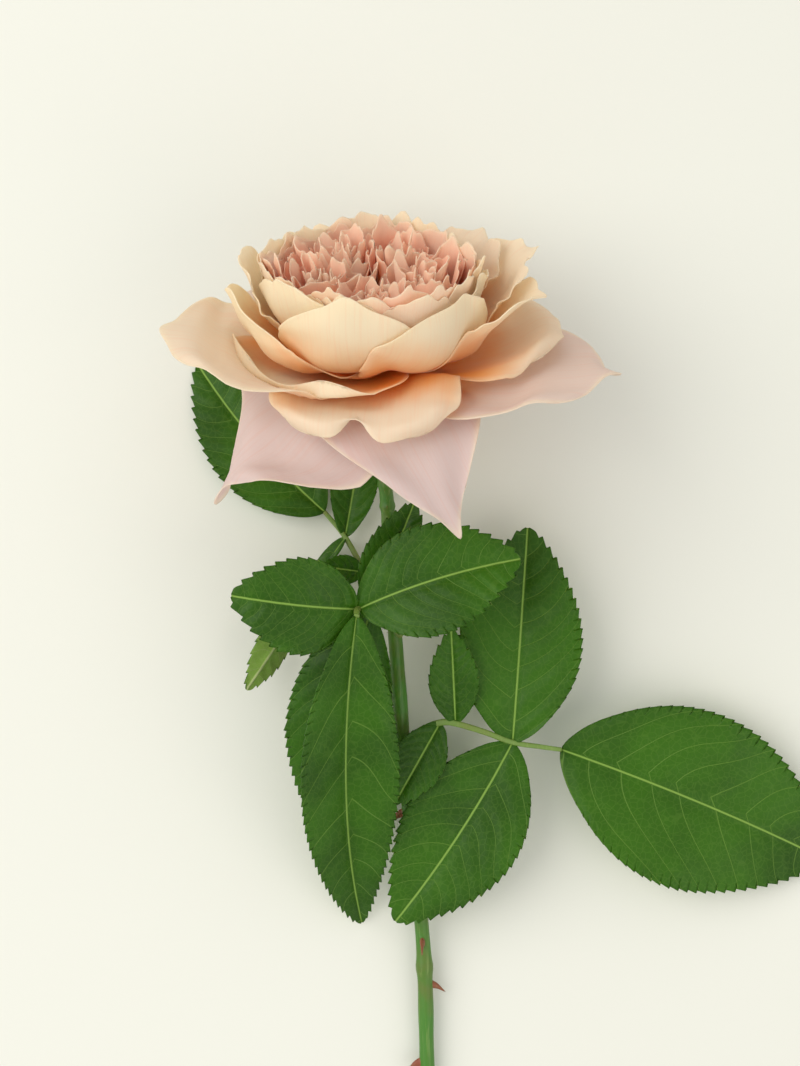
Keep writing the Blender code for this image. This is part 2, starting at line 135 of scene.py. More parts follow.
SPREAD = (30, 20, 6)
HALF_OPEN_PETALS = (
    Petal("petal_half_open_1", 42, 43, 34, (78, 56, 38, 36), (5.4, 1.6), (40, 40, 24)),
    Petal("petal_half_open_2", 16, 44, 34, (78, 56, 46, 44), (5.4, 1.2), (40, 40, 24)),
    Petal("petal_half_open_3", 350, 43, 34, (80, 62, 52, 50), (5.4, 0.8), (40, 40, 24)),
)
OUTER_PETALS = (
    Petal("petal_front_short", 228, 29, 48, (80, 88, 86, 86), (5.5, 0.8), (30, 30, 20)),
    Petal("petal_outer_right_upper", 2, 42, 40, (62, 74, 78, 78), (5.5, 0.4), (35, 20, 10)),
    Petal("petal_outer_left", 202, 46.5, 47, (66, 81, 79, 78), (5.6, -0.4), SPREAD, sweep=-9, taper=0.1,
          point=4, reach=8),
    Petal("petal_back_left", 122, 42.35, 44, (70, 84, 88, 90), (5.5, 0.2), SPREAD),
    Petal("petal_front_notched", 266, 38, 46, (84, 94, 106, 112), (5.6, -0.4), SPREAD, notch=7),
    Petal("petal_back_right", 70, 39.65, 44, (70, 84, 84, 84), (5.6, -0.6), SPREAD),
    Petal("petal_outer_right", 337, 51, 46, (74, 92, 92, 92), (5.6, -0.8), SPREAD, sweep=8, taper=0.1,
          point=4),
    Petal("petal_hanging_right", 283, 50, 40, (75, 105, 154, 150), (5.8, -1.6), (30, 10, -16), widest=0.46,
          sweep=15, taper=0.5, point=4, reach=8),
    Petal("petal_hanging_left", 229, 50, 52, (84, 104, 144, 140), (5.8, -3.0), (30, 20, -10), widest=0.5,
          sweep=-20, taper=0.5, point=4, reach=8),
)

# The cup: azimuth, layer, length, width and lean of each petal, from the outside in.
CUP_PETALS = (
    (197, 0, 42.5, 36, (84, 84, 24, 18)),
    (318, -0.4, 38.5, 37, (88, 90, 4, 0)),
    (112, 0, 41.0, 38, (86, 84, 4, 0)),
    (254, 1, 37.5, 38, (88, 92, 2, -4)),
    (170, 1, 42.0, 36, (86, 84, 14, 8)),
    (75, 1, 40.0, 38, (86, 84, 6, 0)),
    (345, 1, 37.5, 34, (86, 84, 6, 0)),
    (217, 2, 38.5, 38, (88, 84, 6, 2)),
    (140, 2, 39.0, 38, (86, 84, 6, 0)),
)

# The nested rings that the CAD has inside the cup: count, first azimuth, first layer, length, width and lean.
GUIDE_RINGS = (
    (5, 30, 3, 34.0, 26, (80, 70, 6, 4)),
    (5, 66, 5, 30.0, 20, (74, 50, 4, 4)),
    (3, 10, 7, 26.0, 17, (60, 30, 2, 0)),
)

SEPAL_COUNT = 5
SEPAL_LENGTH = 20.0
SEPAL_WIDTH = 6.0
SEPAL_FIRST_AZIMUTH = 30.0
SEPAL_LEAN = (146, 166, 174, 168)
SEPAL_ROOT = (5.4, -8.2)

FLAT_ROLL = (0, 40, 14, 4)
BACK_ROLL = (0, 40, 40, 6)
MARGINS = {
    "petal_front_short": Margin(
        ((-46, 34, -95, 5), (34, 34, -95, 5)), 0.6, 3, 0.0, 0.1, 1.1, claw=0.8, lop=-0.12, span=0.95,
        lean=(94, 93, 91, 88), cup=(10, 14, 12)),
    "petal_outer_right_upper": Margin(
        ((-62, 34, 95, 6), (0, 22, 50, 5), (40, 30, 30, 6)), 0.5, 4, 0.4, 0.3, 1.1, lean=(78, 84, 80, 78)),
    "petal_outer_left": Margin(
        ((60, 30, 30, 5), (-60, 30, -20, 6)), 0.5, 3, 0.2, 0.4, 0.7, peak=-1.5, narrow=-0.2, lop=0.08,
        skew=5.0, lean=(62, 82, 82, 82)),
    "petal_front_notched": Margin(
        ((-52, 36, 95, 6), (52, 36, 95, 6)), 0.9, 5, 0.0, 0.3, 0.95, cleft=7, claw=0.8, span=0.9),
    "petal_outer_right": Margin(
        ((10, 16, 90, 5), (-60, 30, 20, 5)), 0.6, 4, 0.3, 0.75, 0.7, narrow=-0.15, lop=0.1, skew=-3.0,
        span=1.04, lean=(92, 92, 84, 82), cup=(10, 12, 6)),
    "petal_hanging_right": Margin(
        ((0, 16, 30, 5), (62, 24, -30, 6)), 0.6, 3, 0.2, 1.0, 0.6, narrow=0.12, span=1.03, turn=-4),
    "petal_hanging_left": Margin(
        ((-8, 18, 80, 6),), 0.6, 3, 0.2, 1.0, 0.5, narrow=0.32, lop=0.05, skew=8, span=0.95, breadth=0.84,
        peak=3, lean=(84, 106, 152, 150), cup=(30, 0, -30)),
    "petal_back_left": Margin((BACK_ROLL,), 0.6, 4, 0.5, 0.6, 0.7, span=0.92),
    "petal_back_right": Margin((BACK_ROLL,), 0.6, 4, 0.5, 0.6, 0.7, span=0.92),
    "petal_half_open_1": Margin(((0, 30, 30, 6),), 0.8, 6, 2.2, 0.35, 1.0, peak=2.5, span=0.9),
    "petal_half_open_2": Margin(((0, 30, 30, 6),), 0.8, 6, 2.2, 0.3, 1.0, peak=2.5, span=0.95),
    "petal_half_open_3": Margin(((0, 30, 30, 6),), 0.8, 6, 1.8, 0.2, 1.1, peak=1.5, span=0.93),
    "petal_cup_9": Margin((FLAT_ROLL,), 0.4, 4, 0.4, 0.0, 1.0, peak=2.4, claw=0.5, span=0.9, skew=-3,
                          lean=(96, 98, 60, 20, 10)),
    "petal_cup_8": Margin((FLAT_ROLL,), 0.4, 4, 0.4, 0.0, 1.15, peak=1.5, claw=0.5, lop=-0.3,
                          lean=(98, 104, 60, 0, -8)),
    "petal_cup_6": Margin((FLAT_ROLL,), 0.4, 3, 0.3, 0.0, 1.2, peak=3.0, claw=0.5, span=1.02, turn=4,
                          lean=(98, 104, 60, 0, -8)),
    "petal_cup_2": Margin((FLAT_ROLL,), 0.4, 5, 0.8, 0.0, 1.0, peak=2.0, span=0.92, turn=5),
    "petal_cup_7": Margin((FLAT_ROLL,), 0.8, 6, 2.6, 0.3, 0.8, peak=2.6, span=0.85),
    "petal_cup_5": Margin((FLAT_ROLL,), 0.7, 6, 2.2, 0.2, 0.8, peak=2.6, span=0.86),
    "petal_cup_4": Margin((FLAT_ROLL,), 0.8, 6, 2.6, 0.3, 0.8, peak=2.6, span=0.86),
    "petal_cup_3": Margin((FLAT_ROLL,), 0.6, 5, 2.0, 0.1, 0.8, peak=2.0, span=0.88),
}
CUP_MARGIN = Margin((FLAT_ROLL,), 0.8, 6, 2.6, 0.2, 0.8, peak=2.6, span=0.86)
SEPAL_MARGIN = Margin((), 0.2, 3, 0.0, 0.0, 0.0, 0.0)
SEPAL_CELLS = 16
CLEFT_PLACE = -0.12         # across the petal, from -1 to 1
CLEFT_WIDTH = 0.2
FOOT_SHARE = 0.07           # of a petal's length, over which its foot runs in and up to the hip
FOOT_INSET = 0.36           # how far it runs in, as a share of its distance from the axis
FOOT_RISE = 1.3
PETAL_GAP = 0.45            # between a fine petal and those inside it
PETAL_CROWDING = 1.5        # how much closer together the grid's lines are at the edge of an outer petal
PETAL_SEED = 100

# ---------------------------------------------------------------- the bloom's packed heart

HEART_FLOOR = 5.0           # height at which the heart's petals are attached
WALL_RINGS = ((11, 30, 0.955), (11, 46, 0.92), (10, 38, 0.885))   # count, first azimuth, share of the room
WALL_TIP = 25.4             # height of the outermost ring's tips
WALL_HALF_ANGLE = 24.0      # of the arc that a wall petal covers
QUARTERS = (186, 122, 58, 352, 272)     # azimuths of the tufts that the heart is parted into
QUARTER_HALF_ANGLE = 36.0
QUARTER_PETALS = 17
QUARTER_TIP = 21.2          # height of the tips over the flower's axis
HEART_SHARE = 0.86          # of the room inside the cup
RUFFLE = 0.9                # how far the petals of a tuft wave in and out, all together
RUFFLES = 6                 # waves round a tuft
GOLDEN_ANGLE = 2.399963     # radians from one petal of a tuft to the next
TUFT_MIDDLE = 0.55          # a tuft's middle, as a share of the way from the axis to the heart's rim
WALL_FOOT_RADIUS = 3.6      # of the wall petals' feet round the flower's axis
TUFT_FOOT_RADIUS = 2.4      # of the tufts' feet round it
HEART_CROWDING = 1.3
HEART_SEED = 7

# ---------------------------------------------------------------- the stem and the leaves

STEM_ROUTE = (
    (0.3, -7.4, -4.0), (0.7, -13.0, -7.6), (2.1, -26.5, -13.6), (3.4, -40.6, -18.2), (4.1, -57.5, -22.0),
    (5.5, -76.0, -25.0), (8.4, -113.3, -29.0), (12.6, -153.7, -32.0), (13.7, -186.3, -33.4),
    (14.6, -222.0, -34.1), (15.2, -254.0, -34.3),
)
STEM_TOP_RADIUS = 1.7
STEM_END_RADIUS = 2.1
STEM_ROWS = 260
KNOTS = (0.245, 0.285, 0.395, 0.72)     # stations of the thicker rings, where leaves and buds grow or grew
HIP_PROFILE = (
    (0.0, 6.4), (1.0, 6.0), (2.0, 3.6), (3.0, 1.2), (3.8, -0.6), (4.0, -1.8), (4.6, -3.2), (4.8, -5.6),
    (4.2, -8.4), (3.0, -10.8), (1.9, -12.4), (0.0, -12.6),
)
# Prickles: station along the stem from 0 at the hip to 1 at the cut end, angle round the stem, length.
PRICKLES = (
    (0.17, 175, 2.0), (0.22, 190, 2.0), (0.335, 10, 1.8), (0.36, 185, 2.0), (0.395, 5, 2.2),
    (0.44, 178, 1.8), (0.58, 200, 3.6), (0.615, 180, 4.0), (0.635, 355, 2.4), (0.675, 5, 4.4),
    (0.70, 95, 4.0), (0.735, 358, 3.4), (0.80, 170, 4.2), (0.86, 20, 4.4), (0.91, 150, 3.8),
)
PRICKLE_BASE_RADIUS = 1.1
BRISTLE_RADIUS = 0.16
BRISTLE_SEED = 11
STALK_ROWS = 90
STALK_SIDES = 16

PETIOLES = {
    "petiole_front": (
        1.1, ((6.8, -71.0, -21.6), (4.2, -69.0, -18.0), (-1.2, -65.5, -12.0), (-4.1, -64.5, -6.0),
              (-4.4, -66.2, -3.0)),
    ),
    "petiole_right": (
        0.9, ((10.2, -100.6, -27.4), (12.4, -97.0, -25.0), (17.0, -94.8, -22.6), (21.0, -95.0, -22.4),
              (28.9, -97.4, -23.0), (36.0, -100.1, -24.0), (43.4, -101.4, -25.5), (49.0, -102.3, -26.5)),
    ),
    "petiole_back": (
        0.9, ((1.6, -62.6, -25.2), (-0.4, -59.7, -27.2), (-2.8, -55.6, -29.5), (-8.1, -46.3, -31.2),
              (-13.6, -39.6, -31.8)),
    ),
}


@dataclass(frozen=True)
class Leaflet:
    """One leaflet. Heading is measured from +X towards +Y, and rise is its midrib's angle above the table."""
    name: str
    petiole: str
    station: int
    heading: float
    rise: float
    length: float
    width: float
    roll: float = 0.0
    bend: float = 0.0
    swing: float = 0.0
    fold: float = 12.0
    twist: float = 0.0


ROWS_PER_TOOTH = 6
LEAF_SEED = 40
MIDRIB_STEPS = 40
LEAFLETS = (
    Leaflet("leaflet_front_end", "petiole_front", 4, -98, -4, 90, 29, roll=20, bend=-26, swing=26, fold=26),
    Leaflet("leaflet_front_left", "petiole_front", 3, 178, 38, 33, 25, roll=10, bend=-52, fold=8),
    Leaflet("leaflet_front_right", "petiole_front", 3, 26, 20, 43, 29, roll=10, bend=-30, swing=-12, fold=14),
    Leaflet("leaflet_front_upper", "petiole_front", 2, 67, 14, 30, 17, roll=-10, bend=-12, fold=20),
    Leaflet("leaflet_front_hanging", "petiole_front", 2, -107, -8, 62, 29, roll=-16, bend=-22, fold=14),
    Leaflet("leaflet_right_end", "petiole_right", 7, -19, 4, 78, 48, bend=-22, swing=-8, fold=10),
    Leaflet("leaflet_right_upper", "petiole_right", 5, 86, 8, 56, 33, bend=-16, fold=12),
    Leaflet("leaflet_right_lower", "petiole_right", 5, -118, 8, 56, 32, bend=-18, swing=-10, fold=10),
    Leaflet("leaflet_right_base_upper", "petiole_right", 3, 93, 20, 25, 13.5, bend=-10, fold=14),
    Leaflet("leaflet_right_base_lower", "petiole_right", 2, -120, 16, 24, 14, bend=-10, fold=14),
    Leaflet("leaflet_back_end", "petiole_back", 4, 139, 0.2, 52, 27, bend=-10, swing=-16, fold=10),
    Leaflet("leaflet_back_right", "petiole_back", 3, 80, 6, 33, 13, bend=-10, fold=14),
    Leaflet("leaflet_back_left", "petiole_back", 3, -128, 4, 48, 15, bend=-12, swing=18, fold=14, roll=-50,
            twist=-125),
    Leaflet("leaflet_back_base", "petiole_back", 2, 172, 24, 12, 8, bend=-10, fold=14),
)

# ---------------------------------------------------------------- the stage

TABLE_HALF = 2000.0
TABLE_DROP = 0.2            # below the rose, so that the two don't share a plane
LAMPS = (
    ("window", "key", (-900, 250, 950), 1300, "#FFFBF2"),
    ("fill", "fill", (700, -500, 900), 1000, "#FFF6E8"),
)                           # name, its power's setting, place, width and colour; all of them face the origin
ROOM_LIGHT = "#F8F7F4"
ROOM_STRENGTH = 0.78
VIEW_OFFSET = (6.5, -45.25, 0.0)        # of the view's middle, from the flower's base
VIEW_DISTANCE = 500.0
VIEW_HEIGHT = 266.5         # of the view, at the height of the flower's base
SENSOR_WIDTH = 36.0

# ---------------------------------------------------------------- what a user would change


def length_property(name, description, default):
    return bpy.props.FloatProperty(name=name, description=description, default=default, subtype="DISTANCE",
                                   unit="LENGTH", precision=5)


def count_property(name, description, default):
    return bpy.props.IntProperty(name=name, description=description, default=default, min=1)


def linear(hex_colour):
    """An sRGB hex colour as the linear values that shaders work in."""
    parts = [int(hex_colour[k:k + 2], 16) / 255 for k in (1, 3, 5)]
    return (*(part / 12.92 if part <= 0.04045 else ((part + 0.055) / 1.055)**2.4 for part in parts), 1.0)


def colour_property(name, description, hex_colour):
    return bpy.props.FloatVectorProperty(name=name, description=description, default=linear(hex_colour),
                                         size=4, subtype="COLOR", min=0.0, max=1.0)


def power_property(name, description, default):
    return bpy.props.FloatProperty(name=name, description=description, default=default, subtype="POWER",
                                   unit="POWER")


class RoseBloomSettings(bpy.types.PropertyGroup):
    thickness: length_property("Petal thickness", "Thickness of the outer petals", 0.00032)
    inner_thickness: length_property("Inner petal thickness", "Thickness of the packed petals", 0.00024)
    cells: count_property("Petal cells", "Faces along each side of an outer petal", 36)
    inner_cells: count_property("Inner petal cells", "Faces along each side of a packed petal", 22)
    base: colour_property("Petal base", "Apricot at the foot of a petal", "#FFBA44")
    cream: colour_property("Petal cream", "Cream of the cup", "#FFF6DE")
    buff: colour_property("Petal buff", "Warm buff of the spread petals", "#F8E8D8")
    lilac: colour_property("Petal lilac", "Lilac pink of the hanging petals", "#EEDDDB")
    peach: colour_property("Petal peach", "Pale peach of the packed petals' tips", "#FFE6D2")
    coral: colour_property("Petal coral", "Coral pink of the packed petals", "#FFC0A0")


class RoseLeafSettings(bpy.types.PropertyGroup):
    thickness: length_property("Leaf thickness", "Thickness of a leaflet", 0.0003)
    columns: count_property("Leaf columns", "Faces across a leaflet", 24)
    tooth_spacing: length_property("Tooth spacing", "Distance between the teeth of a leaf's edge", 0.0026)
    tooth_depth: length_property("Tooth depth", "How far a tooth stands out", 0.0008)
    green: colour_property("Leaf green", "Upper side of a leaf", "#376906")
    dark: colour_property("Leaf dark green", "Darker patches of the upper side", "#285103")
    vein: colour_property("Vein green", "Veins on the upper side", "#86AC4C")
    olive: colour_property("Leaf underside", "Under side of a leaf", "#7B9448")


class RoseStemSettings(bpy.types.PropertyGroup):
    sides: count_property("Stem sides", "Faces round the stem", 24)
    green: colour_property("Stem green", "Waxy green of the stem", "#427A22")
    brown: colour_property("Stem brown", "Red brown of the side that had the sun", "#7A5A34")
    prickle: colour_property("Prickle", "Red brown of the prickles", "#8A4A33")
    bristles: count_property("Bristles", "Fine bristles under the flower", 60)


class RoseStageSettings(bpy.types.PropertyGroup):
    floor: colour_property("Table", "Warm white of the table", "#E4E6DF")
    key: power_property("Key light", "Power of the large window light", 10.0)
    fill: power_property("Fill light", "Power of the fill light", 3.0)


# ---------------------------------------------------------------- shapes


def bezier(values, t):
    last = len(values) - 1
    return sum(math.comb(last, k) * value * t**k * (1 - t)**(last - k) for k, value in enumerate(values))


def smooth_step(low, high, value):
    t = np.clip((value - low) / (high - low), 0, 1)
    return t * t * (3 - 2 * t)


def smooth_route(points, count):
    """Points read from a Catmull-Rom curve through the given ones."""
    points = np.array(points, float)
    padded = np.vstack([2 * points[0] - points[1], points, 2 * points[-1] - points[-2]])
    spans = len(points) - 1
    route = []
    for place in np.linspace(0, spans, count):
        k = min(int(place), spans - 1)
        t = place - k
        a, b, c, d = padded[k:k + 4]
        bow, twist = 2 * a - 5 * b + 4 * c - d, 3 * b - a - 3 * c + d
        route.append(0.5 * (2 * b + (c - a) * t + bow * t**2 + twist * t**3))
    return np.array(route)


def unit(vectors):
    return vectors / np.maximum(np.linalg.norm(vectors, axis=-1, keepdims=True), 1e-9)


def cells(columns, rows, crowding=1.0):
    """A grid's corners, from -1 to 1 both ways and row by row, and the corners of its faces. Crowding above 1
    brings its lines closer together towards a petal's edge."""
    over = np.linspace(-1, 1, columns + 1)
    over = np.sign(over) * (1 - (1 - np.abs(over))**crowding)
    up = np.linspace(-1, 1, rows + 1)
    up = np.where(up > 0, 1 - (1 - np.maximum(up, 0))**crowding, up)
    across, along = np.meshgrid(over, up)
    first = (np.arange(rows)[:, None] * (columns + 1) + np.arange(columns)).ravel()
    faces = np.stack([first, first + 1, first + columns + 2, first + columns + 1], -1)
    return across, along, faces


def outline(plan, across, along):
    """The grid on a petal's flat outline: each corner's share of the half width, and of the length."""
    low = np.minimum(along, 0) + 1
    high = np.maximum(along, 0)
    x = across * np.sqrt(1 - high**2 / 2)
    y = high * np.sqrt(1 - across**2 / 2)
    side = x * (1 - plan.taper * y) * (plan.claw + (1 - plan.claw) * np.sin(low * math.pi / 2)**1.1)
    tip = (plan.point * np.exp(-(x / 0.2)**2) - plan.notch * np.exp(-(x / 0.24)**2)) * y**4
    return side, plan.widest * low + (1 - plan.widest) * y + tip / plan.length


def fleshed(plan, margin):
    """The plan with a broad foot, so that no light shows between the petals' feet, and with its own tip."""
    if plan.kind == "sepal":
        return plan
    return replace(plan, claw=margin.claw, point=plan.point + margin.peak, taper=plan.taper + margin.narrow,
                   notch=0.0 if margin.cleft else plan.notch, width=plan.width * margin.breadth,
                   azimuth=plan.azimuth + margin.turn,
                   lean=margin.lean or plan.lean, cup=margin.cup or plan.cup)


def lopsided(side, share, along, plan, margin):
    """The outline with one half broader or longer than the other, and cut to its own length."""
    side = side * (1 + margin.lop * np.tanh(3 * side) * smooth_step(0.15, 0.6, share))
    share = share + margin.skew / plan.length * side * smooth_step(-0.6, 0.8, along)
    return side, share * margin.span


def gathered_foot(points, share, rise):
    """Runs a petal's foot in and up to the hip, so that no gap shows under the petals above it."""
    foot = np.exp(-np.maximum(share, 0) / FOOT_SHARE)[..., None]
    return points * (1 - foot * np.array((FOOT_INSET, FOOT_INSET, 0.0))) + foot * np.array((0.0, 0.0, rise))


def torn_edge(across, along, depth, rng):
    """Small uneven points along a petal's upper edge."""
    x = across * np.sqrt(1 - np.maximum(along, 0)**2 / 2)
    cut = np.zeros_like(across)
    for place in np.linspace(-0.8, 0.8, 8):
        width = rng.uniform(0.06, 0.13)
        cut += rng.uniform(-1, 0.8) * np.exp(-((x - place - rng.uniform(-0.1, 0.1)) / width)**2)
    return depth * cut * np.maximum(along, 0)**5


def petal_shape(plan, side, share):
    """Places on a petal at its azimuth, in the flower's frame."""
    steps = np.linspace(0, 1.3, 66)
    leans = np.radians(bezier(plan.lean, np.minimum(steps, 1)))
    middle = (leans[1:] + leans[:-1]) / 2
    stride = plan.length * steps[1]
    radius = np.interp(share, steps, plan.root[0] + np.append(0, np.cumsum(np.sin(middle) * stride)))
    height = np.interp(share, steps, plan.root[1] + np.append(0, np.cumsum(np.cos(middle) * stride)))
    lean = np.interp(share, steps, leans)
    half = plan.width / 2
    if plan.cup is None:
        curl = half / radius
    else:
        curl = np.radians(bezier(plan.cup, np.clip(share, 0, 1)))
        curl = np.where(np.abs(curl) < 0.001, 0.001, curl)
    turn = curl * side
    offset = half * np.sin(turn) / curl
    raised = half * (1 - np.cos(turn)) / curl
    azimuth = np.radians(plan.azimuth) + np.radians(plan.sweep) * np.maximum(share, 0)**1.5
    outward = radius - raised * np.cos(lean)
    x = outward * np.cos(azimuth) - offset * np.sin(azimuth)
    y = outward * np.sin(azimuth) + offset * np.cos(azimuth)
    return np.stack([x, y, height + raised * np.sin(lean)], -1)


def petal_axes(plan, side, share):
    """Unit directions across and along a petal, and its outer normal, at each place on it."""
    here, step = petal_shape(plan, side, share), 0.02
    sideways = unit(petal_shape(plan, side + step, share) - here)
    upward = unit(petal_shape(plan, side, share + step) - here)
    return sideways, upward, unit(np.cross(sideways, upward))


def finish_margin(points, across, along, axes, half_width, margin, rng):
    """Rolls and waves a petal's edge, and gives it soft folds along its length."""
    sideways, upward, normal = axes
    high = np.maximum(along, 0)
    x, y = across * np.sqrt(1 - high**2 / 2), high * np.sqrt(1 - across**2 / 2)
    outward = unit(sideways * (x * np.abs(x))[..., None] + upward * (y * y)[..., None])
    rim = np.minimum((np.abs(across)**6 + high**6)**(1 / 6), 1)
    place = np.degrees(np.arctan2(across, high + 1e-6))
    moved = points.copy()
    for where, spread, angle, width in margin.rolls:
        turn = np.radians(angle) * np.exp(-((place - where) / spread)**2) * smooth_step(-0.75, -0.1, along)
        turn = np.where(np.abs(turn) < 0.001, 0.001, turn)
        reach = np.clip(1 - (1 - rim) * half_width / width, 0, 1)
        bow = width / turn
        moved += outward * (bow * np.sin(reach * turn) - reach * width)[..., None]
        moved += normal * (bow * (1 - np.cos(reach * turn)))[..., None]
    phase = rng.uniform(0, 2 * math.pi, 3)
    round_edge = np.radians(place)
    wave = np.sin(margin.waves * round_edge + phase[0])
    wave = wave + 0.5 * np.sin(2.3 * margin.waves * round_edge + phase[1])
    folds = np.sin(7 * across + phase[2]) * smooth_step(-0.9, 0.2, along) * (1 - 0.5 * high)
    lift = margin.wave * wave * rim**5 * smooth_step(-0.8, 0.2, along) + margin.swell * folds
    return moved + normal * lift[..., None]


FACE_SHARES = np.array([
    (0.25, 0.25, 0.25, 0.25), (0.56, 0.19, 0.06, 0.19), (0.19, 0.56, 0.19, 0.06), (0.06, 0.19, 0.56, 0.19),
    (0.19, 0.06, 0.19, 0.56),
])


def press_guide(places, faces, inside, reach):
    """Moves a coarse petal's corners outward until it lies clear of the petals inside it."""
    for _ in range(GUIDE_PASSES):
        corners = places[faces]
        flat = np.cross(corners[:, 2] - corners[:, 0], corners[:, 3] - corners[:, 1])
        summed = np.zeros_like(places)
        for k in range(4):
            np.add.at(summed, faces[:, k], flat)
        corner_normals, face_normals = unit(summed), unit(flat)
        push = np.zeros(len(places))
        samples = [(place, normal, [k]) for k, (place, normal) in enumerate(zip(places, corner_normals))]
        for face, normal in zip(faces, face_normals):
            samples += [(share @ places[face], normal, face) for share in FACE_SHARES]
        for place, normal, near in samples:
            start = Vector(place + normal * reach)
            distance = inside.ray_cast(start, Vector(-normal), reach + GUIDE_PITCH)[3]
            if distance is not None:
                push[near] = np.maximum(push[near], reach + GUIDE_PITCH - distance)
        if push.max() < 0.02:
            break
        eased = push.copy()
        for face in faces:
            eased[face] = np.maximum(eased[face], 0.6 * push[face].max())
        places = places + corner_normals * eased[:, None]
    return places


def all_plans():
    """Every petal and sepal that the CAD has, from the flower's heart outward."""
    def nested(name, azimuth, layer, length, width, lean, kind):
        root = (CUP_ROOT_RADIUS - LAYER_INSET * layer, CUP_ROOT_HEIGHT + LAYER_HEIGHT * layer)
        return Petal(name, azimuth, length, width, lean, root, kind=kind)

    number = 0
    for count, first, layer, length, width, lean in reversed(GUIDE_RINGS):
        for k in range(count):
            number += 1
            yield nested(f"petal_inner_{number}", first + k * 360 / count, layer + (k + 1) % 2, length, width,
                         lean, "guide")
    for number, row in enumerate(reversed(CUP_PETALS), 1):
        yield nested(f"petal_cup_{number}", *row, "cup")
    yield from HALF_OPEN_PETALS
    yield from OUTER_PETALS
    for k in range(SEPAL_COUNT):
        yield Petal(f"sepal_{k + 1}", SEPAL_FIRST_AZIMUTH + k * 360 / SEPAL_COUNT, SEPAL_LENGTH, SEPAL_WIDTH,
                    SEPAL_LEAN, SEPAL_ROOT, (50, 40, 20), widest=0.3, claw=0.6, point=4, reach=0,
                    kind="sepal")


def petal_shifts():
    """How far each coarse petal is pressed out of its own shape by the petals inside it, corner by corner."""
    across, along, faces = cells(GUIDE_CELLS, GUIDE_CELLS)
    corners, corner_faces, shifts = [], [], {}
    for plan in all_plans():
        free = petal_shape(plan, *outline(plan, across, along)).reshape(-1, 3)
        placed = free
        if corners and plan.reach:
            placed = press_guide(free, faces, BVHTree.FromPolygons(corners, corner_faces), plan.reach)
        corner_faces += [[len(corners) + int(k) for k in face] for face in faces]
        corners += placed.tolist()
        shifts[plan.name] = (placed - free).reshape(GUIDE_CELLS + 1, GUIDE_CELLS + 1, 3)
    return shifts


def finer(shift, across, along):
    """A coarse grid's shifts, read smoothly at the corners of a finer grid."""
    fine = 240
    spline = smooth_route(np.eye(GUIDE_CELLS + 1), fine + 1)
    down, over = (spline[np.rint((line + 1) / 2 * fine).astype(int)] for line in (along[:, 0], across[0]))
    return np.einsum("ik,jl,klc->ijc", down, over, shift)


def neighbours(push):
    """The mean of the four places round each place of a grid."""
    padded = np.pad(push, 1, mode="edge")
    return (padded[:-2, 1:-1] + padded[2:, 1:-1] + padded[1:-1, :-2] + padded[1:-1, 2:]) / 4


def clear_of(points, normal, inside, pitch, reach=3.0, passes=4):
    """Moves a fine petal outward where it comes closer than the pitch to those inside it."""
    for _ in range(passes):
        push = np.zeros(points.shape[:2])
        for spot in np.ndindex(*push.shape):
            start = Vector(points[spot] + normal[spot] * reach)
            distance = inside.ray_cast(start, Vector(-normal[spot]), reach + pitch)[3]
            if distance is not None:
                push[spot] = reach + pitch - distance
        if push.max() < 0.05:
            break
        for _ in range(5):
            push = np.maximum(push, neighbours(push))
        for _ in range(2):
            push = (push + neighbours(push)) / 2
        points = points + normal * push[..., None]
    return points


# ---------------------------------------------------------------- meshes


def flower_to_row(points):
    """Places in the flower's frame, in millimetres, as places in the row's frame, in metres."""
    rise = math.radians(FLOWER_RISE)
    x, y, z = points[..., 0], points[..., 1], points[..., 2]
    along, up = y * math.sin(rise) + z * math.cos(rise), z * math.sin(rise) - y * math.cos(rise)
    return offset_to_row(np.stack([x, along, up], -1))


def offset_to_row(points):
    """Offsets from the flower's base, in millimetres, as places in the row's frame, in metres."""
    return (points + np.array(FLOWER_BASE)) * MM


def resting(points):
    """Places in metres, eased up where they would dip into the table, as a leaf that lies on it is."""
    low, ease = 0.25 * MM, 0.3 * MM
    eased = points.copy()
    eased[..., 2] = 0.5 * (points[..., 2] + low + np.sqrt((points[..., 2] - low)**2 + ease**2))
    return eased


def row_to_flower(points):
    """Places in the row's frame, in metres, as places in the flower's frame, in millimetres."""
    rise = math.radians(FLOWER_RISE)
    x, y, z = (points / MM - np.array(FLOWER_BASE)).T
    return np.stack([x, y * math.sin(rise) - z * math.cos(rise), y * math.cos(rise) + z * math.sin(rise)], -1)


def grid_of(points):
    """A bmesh grid with its corners at the places given, row by row."""
    grid = bmesh.new()
    rows, columns = points.shape[0] - 1, points.shape[1] - 1
    bmesh.ops.create_grid(grid, x_segments=columns, y_segments=rows, size=1.0, calc_uvs=False)
    grid.verts.index_update()
    for vertex, place in zip(grid.verts, points.reshape(-1, 3)):
        vertex.co = place
    return grid


def finished(name, grid, looks, collection=None):
    """The bmesh as a smooth object with its materials, in the scene or in the collection given."""
    for face in grid.faces:
        face.smooth = True
    mesh = bpy.data.meshes.new(name)
    grid.to_mesh(mesh)
    grid.free()
    for look in looks:
        mesh.materials.append(look)
    made = bpy.data.objects.new(name, mesh)
    (collection or bpy.context.scene.collection).objects.link(made)
    return made


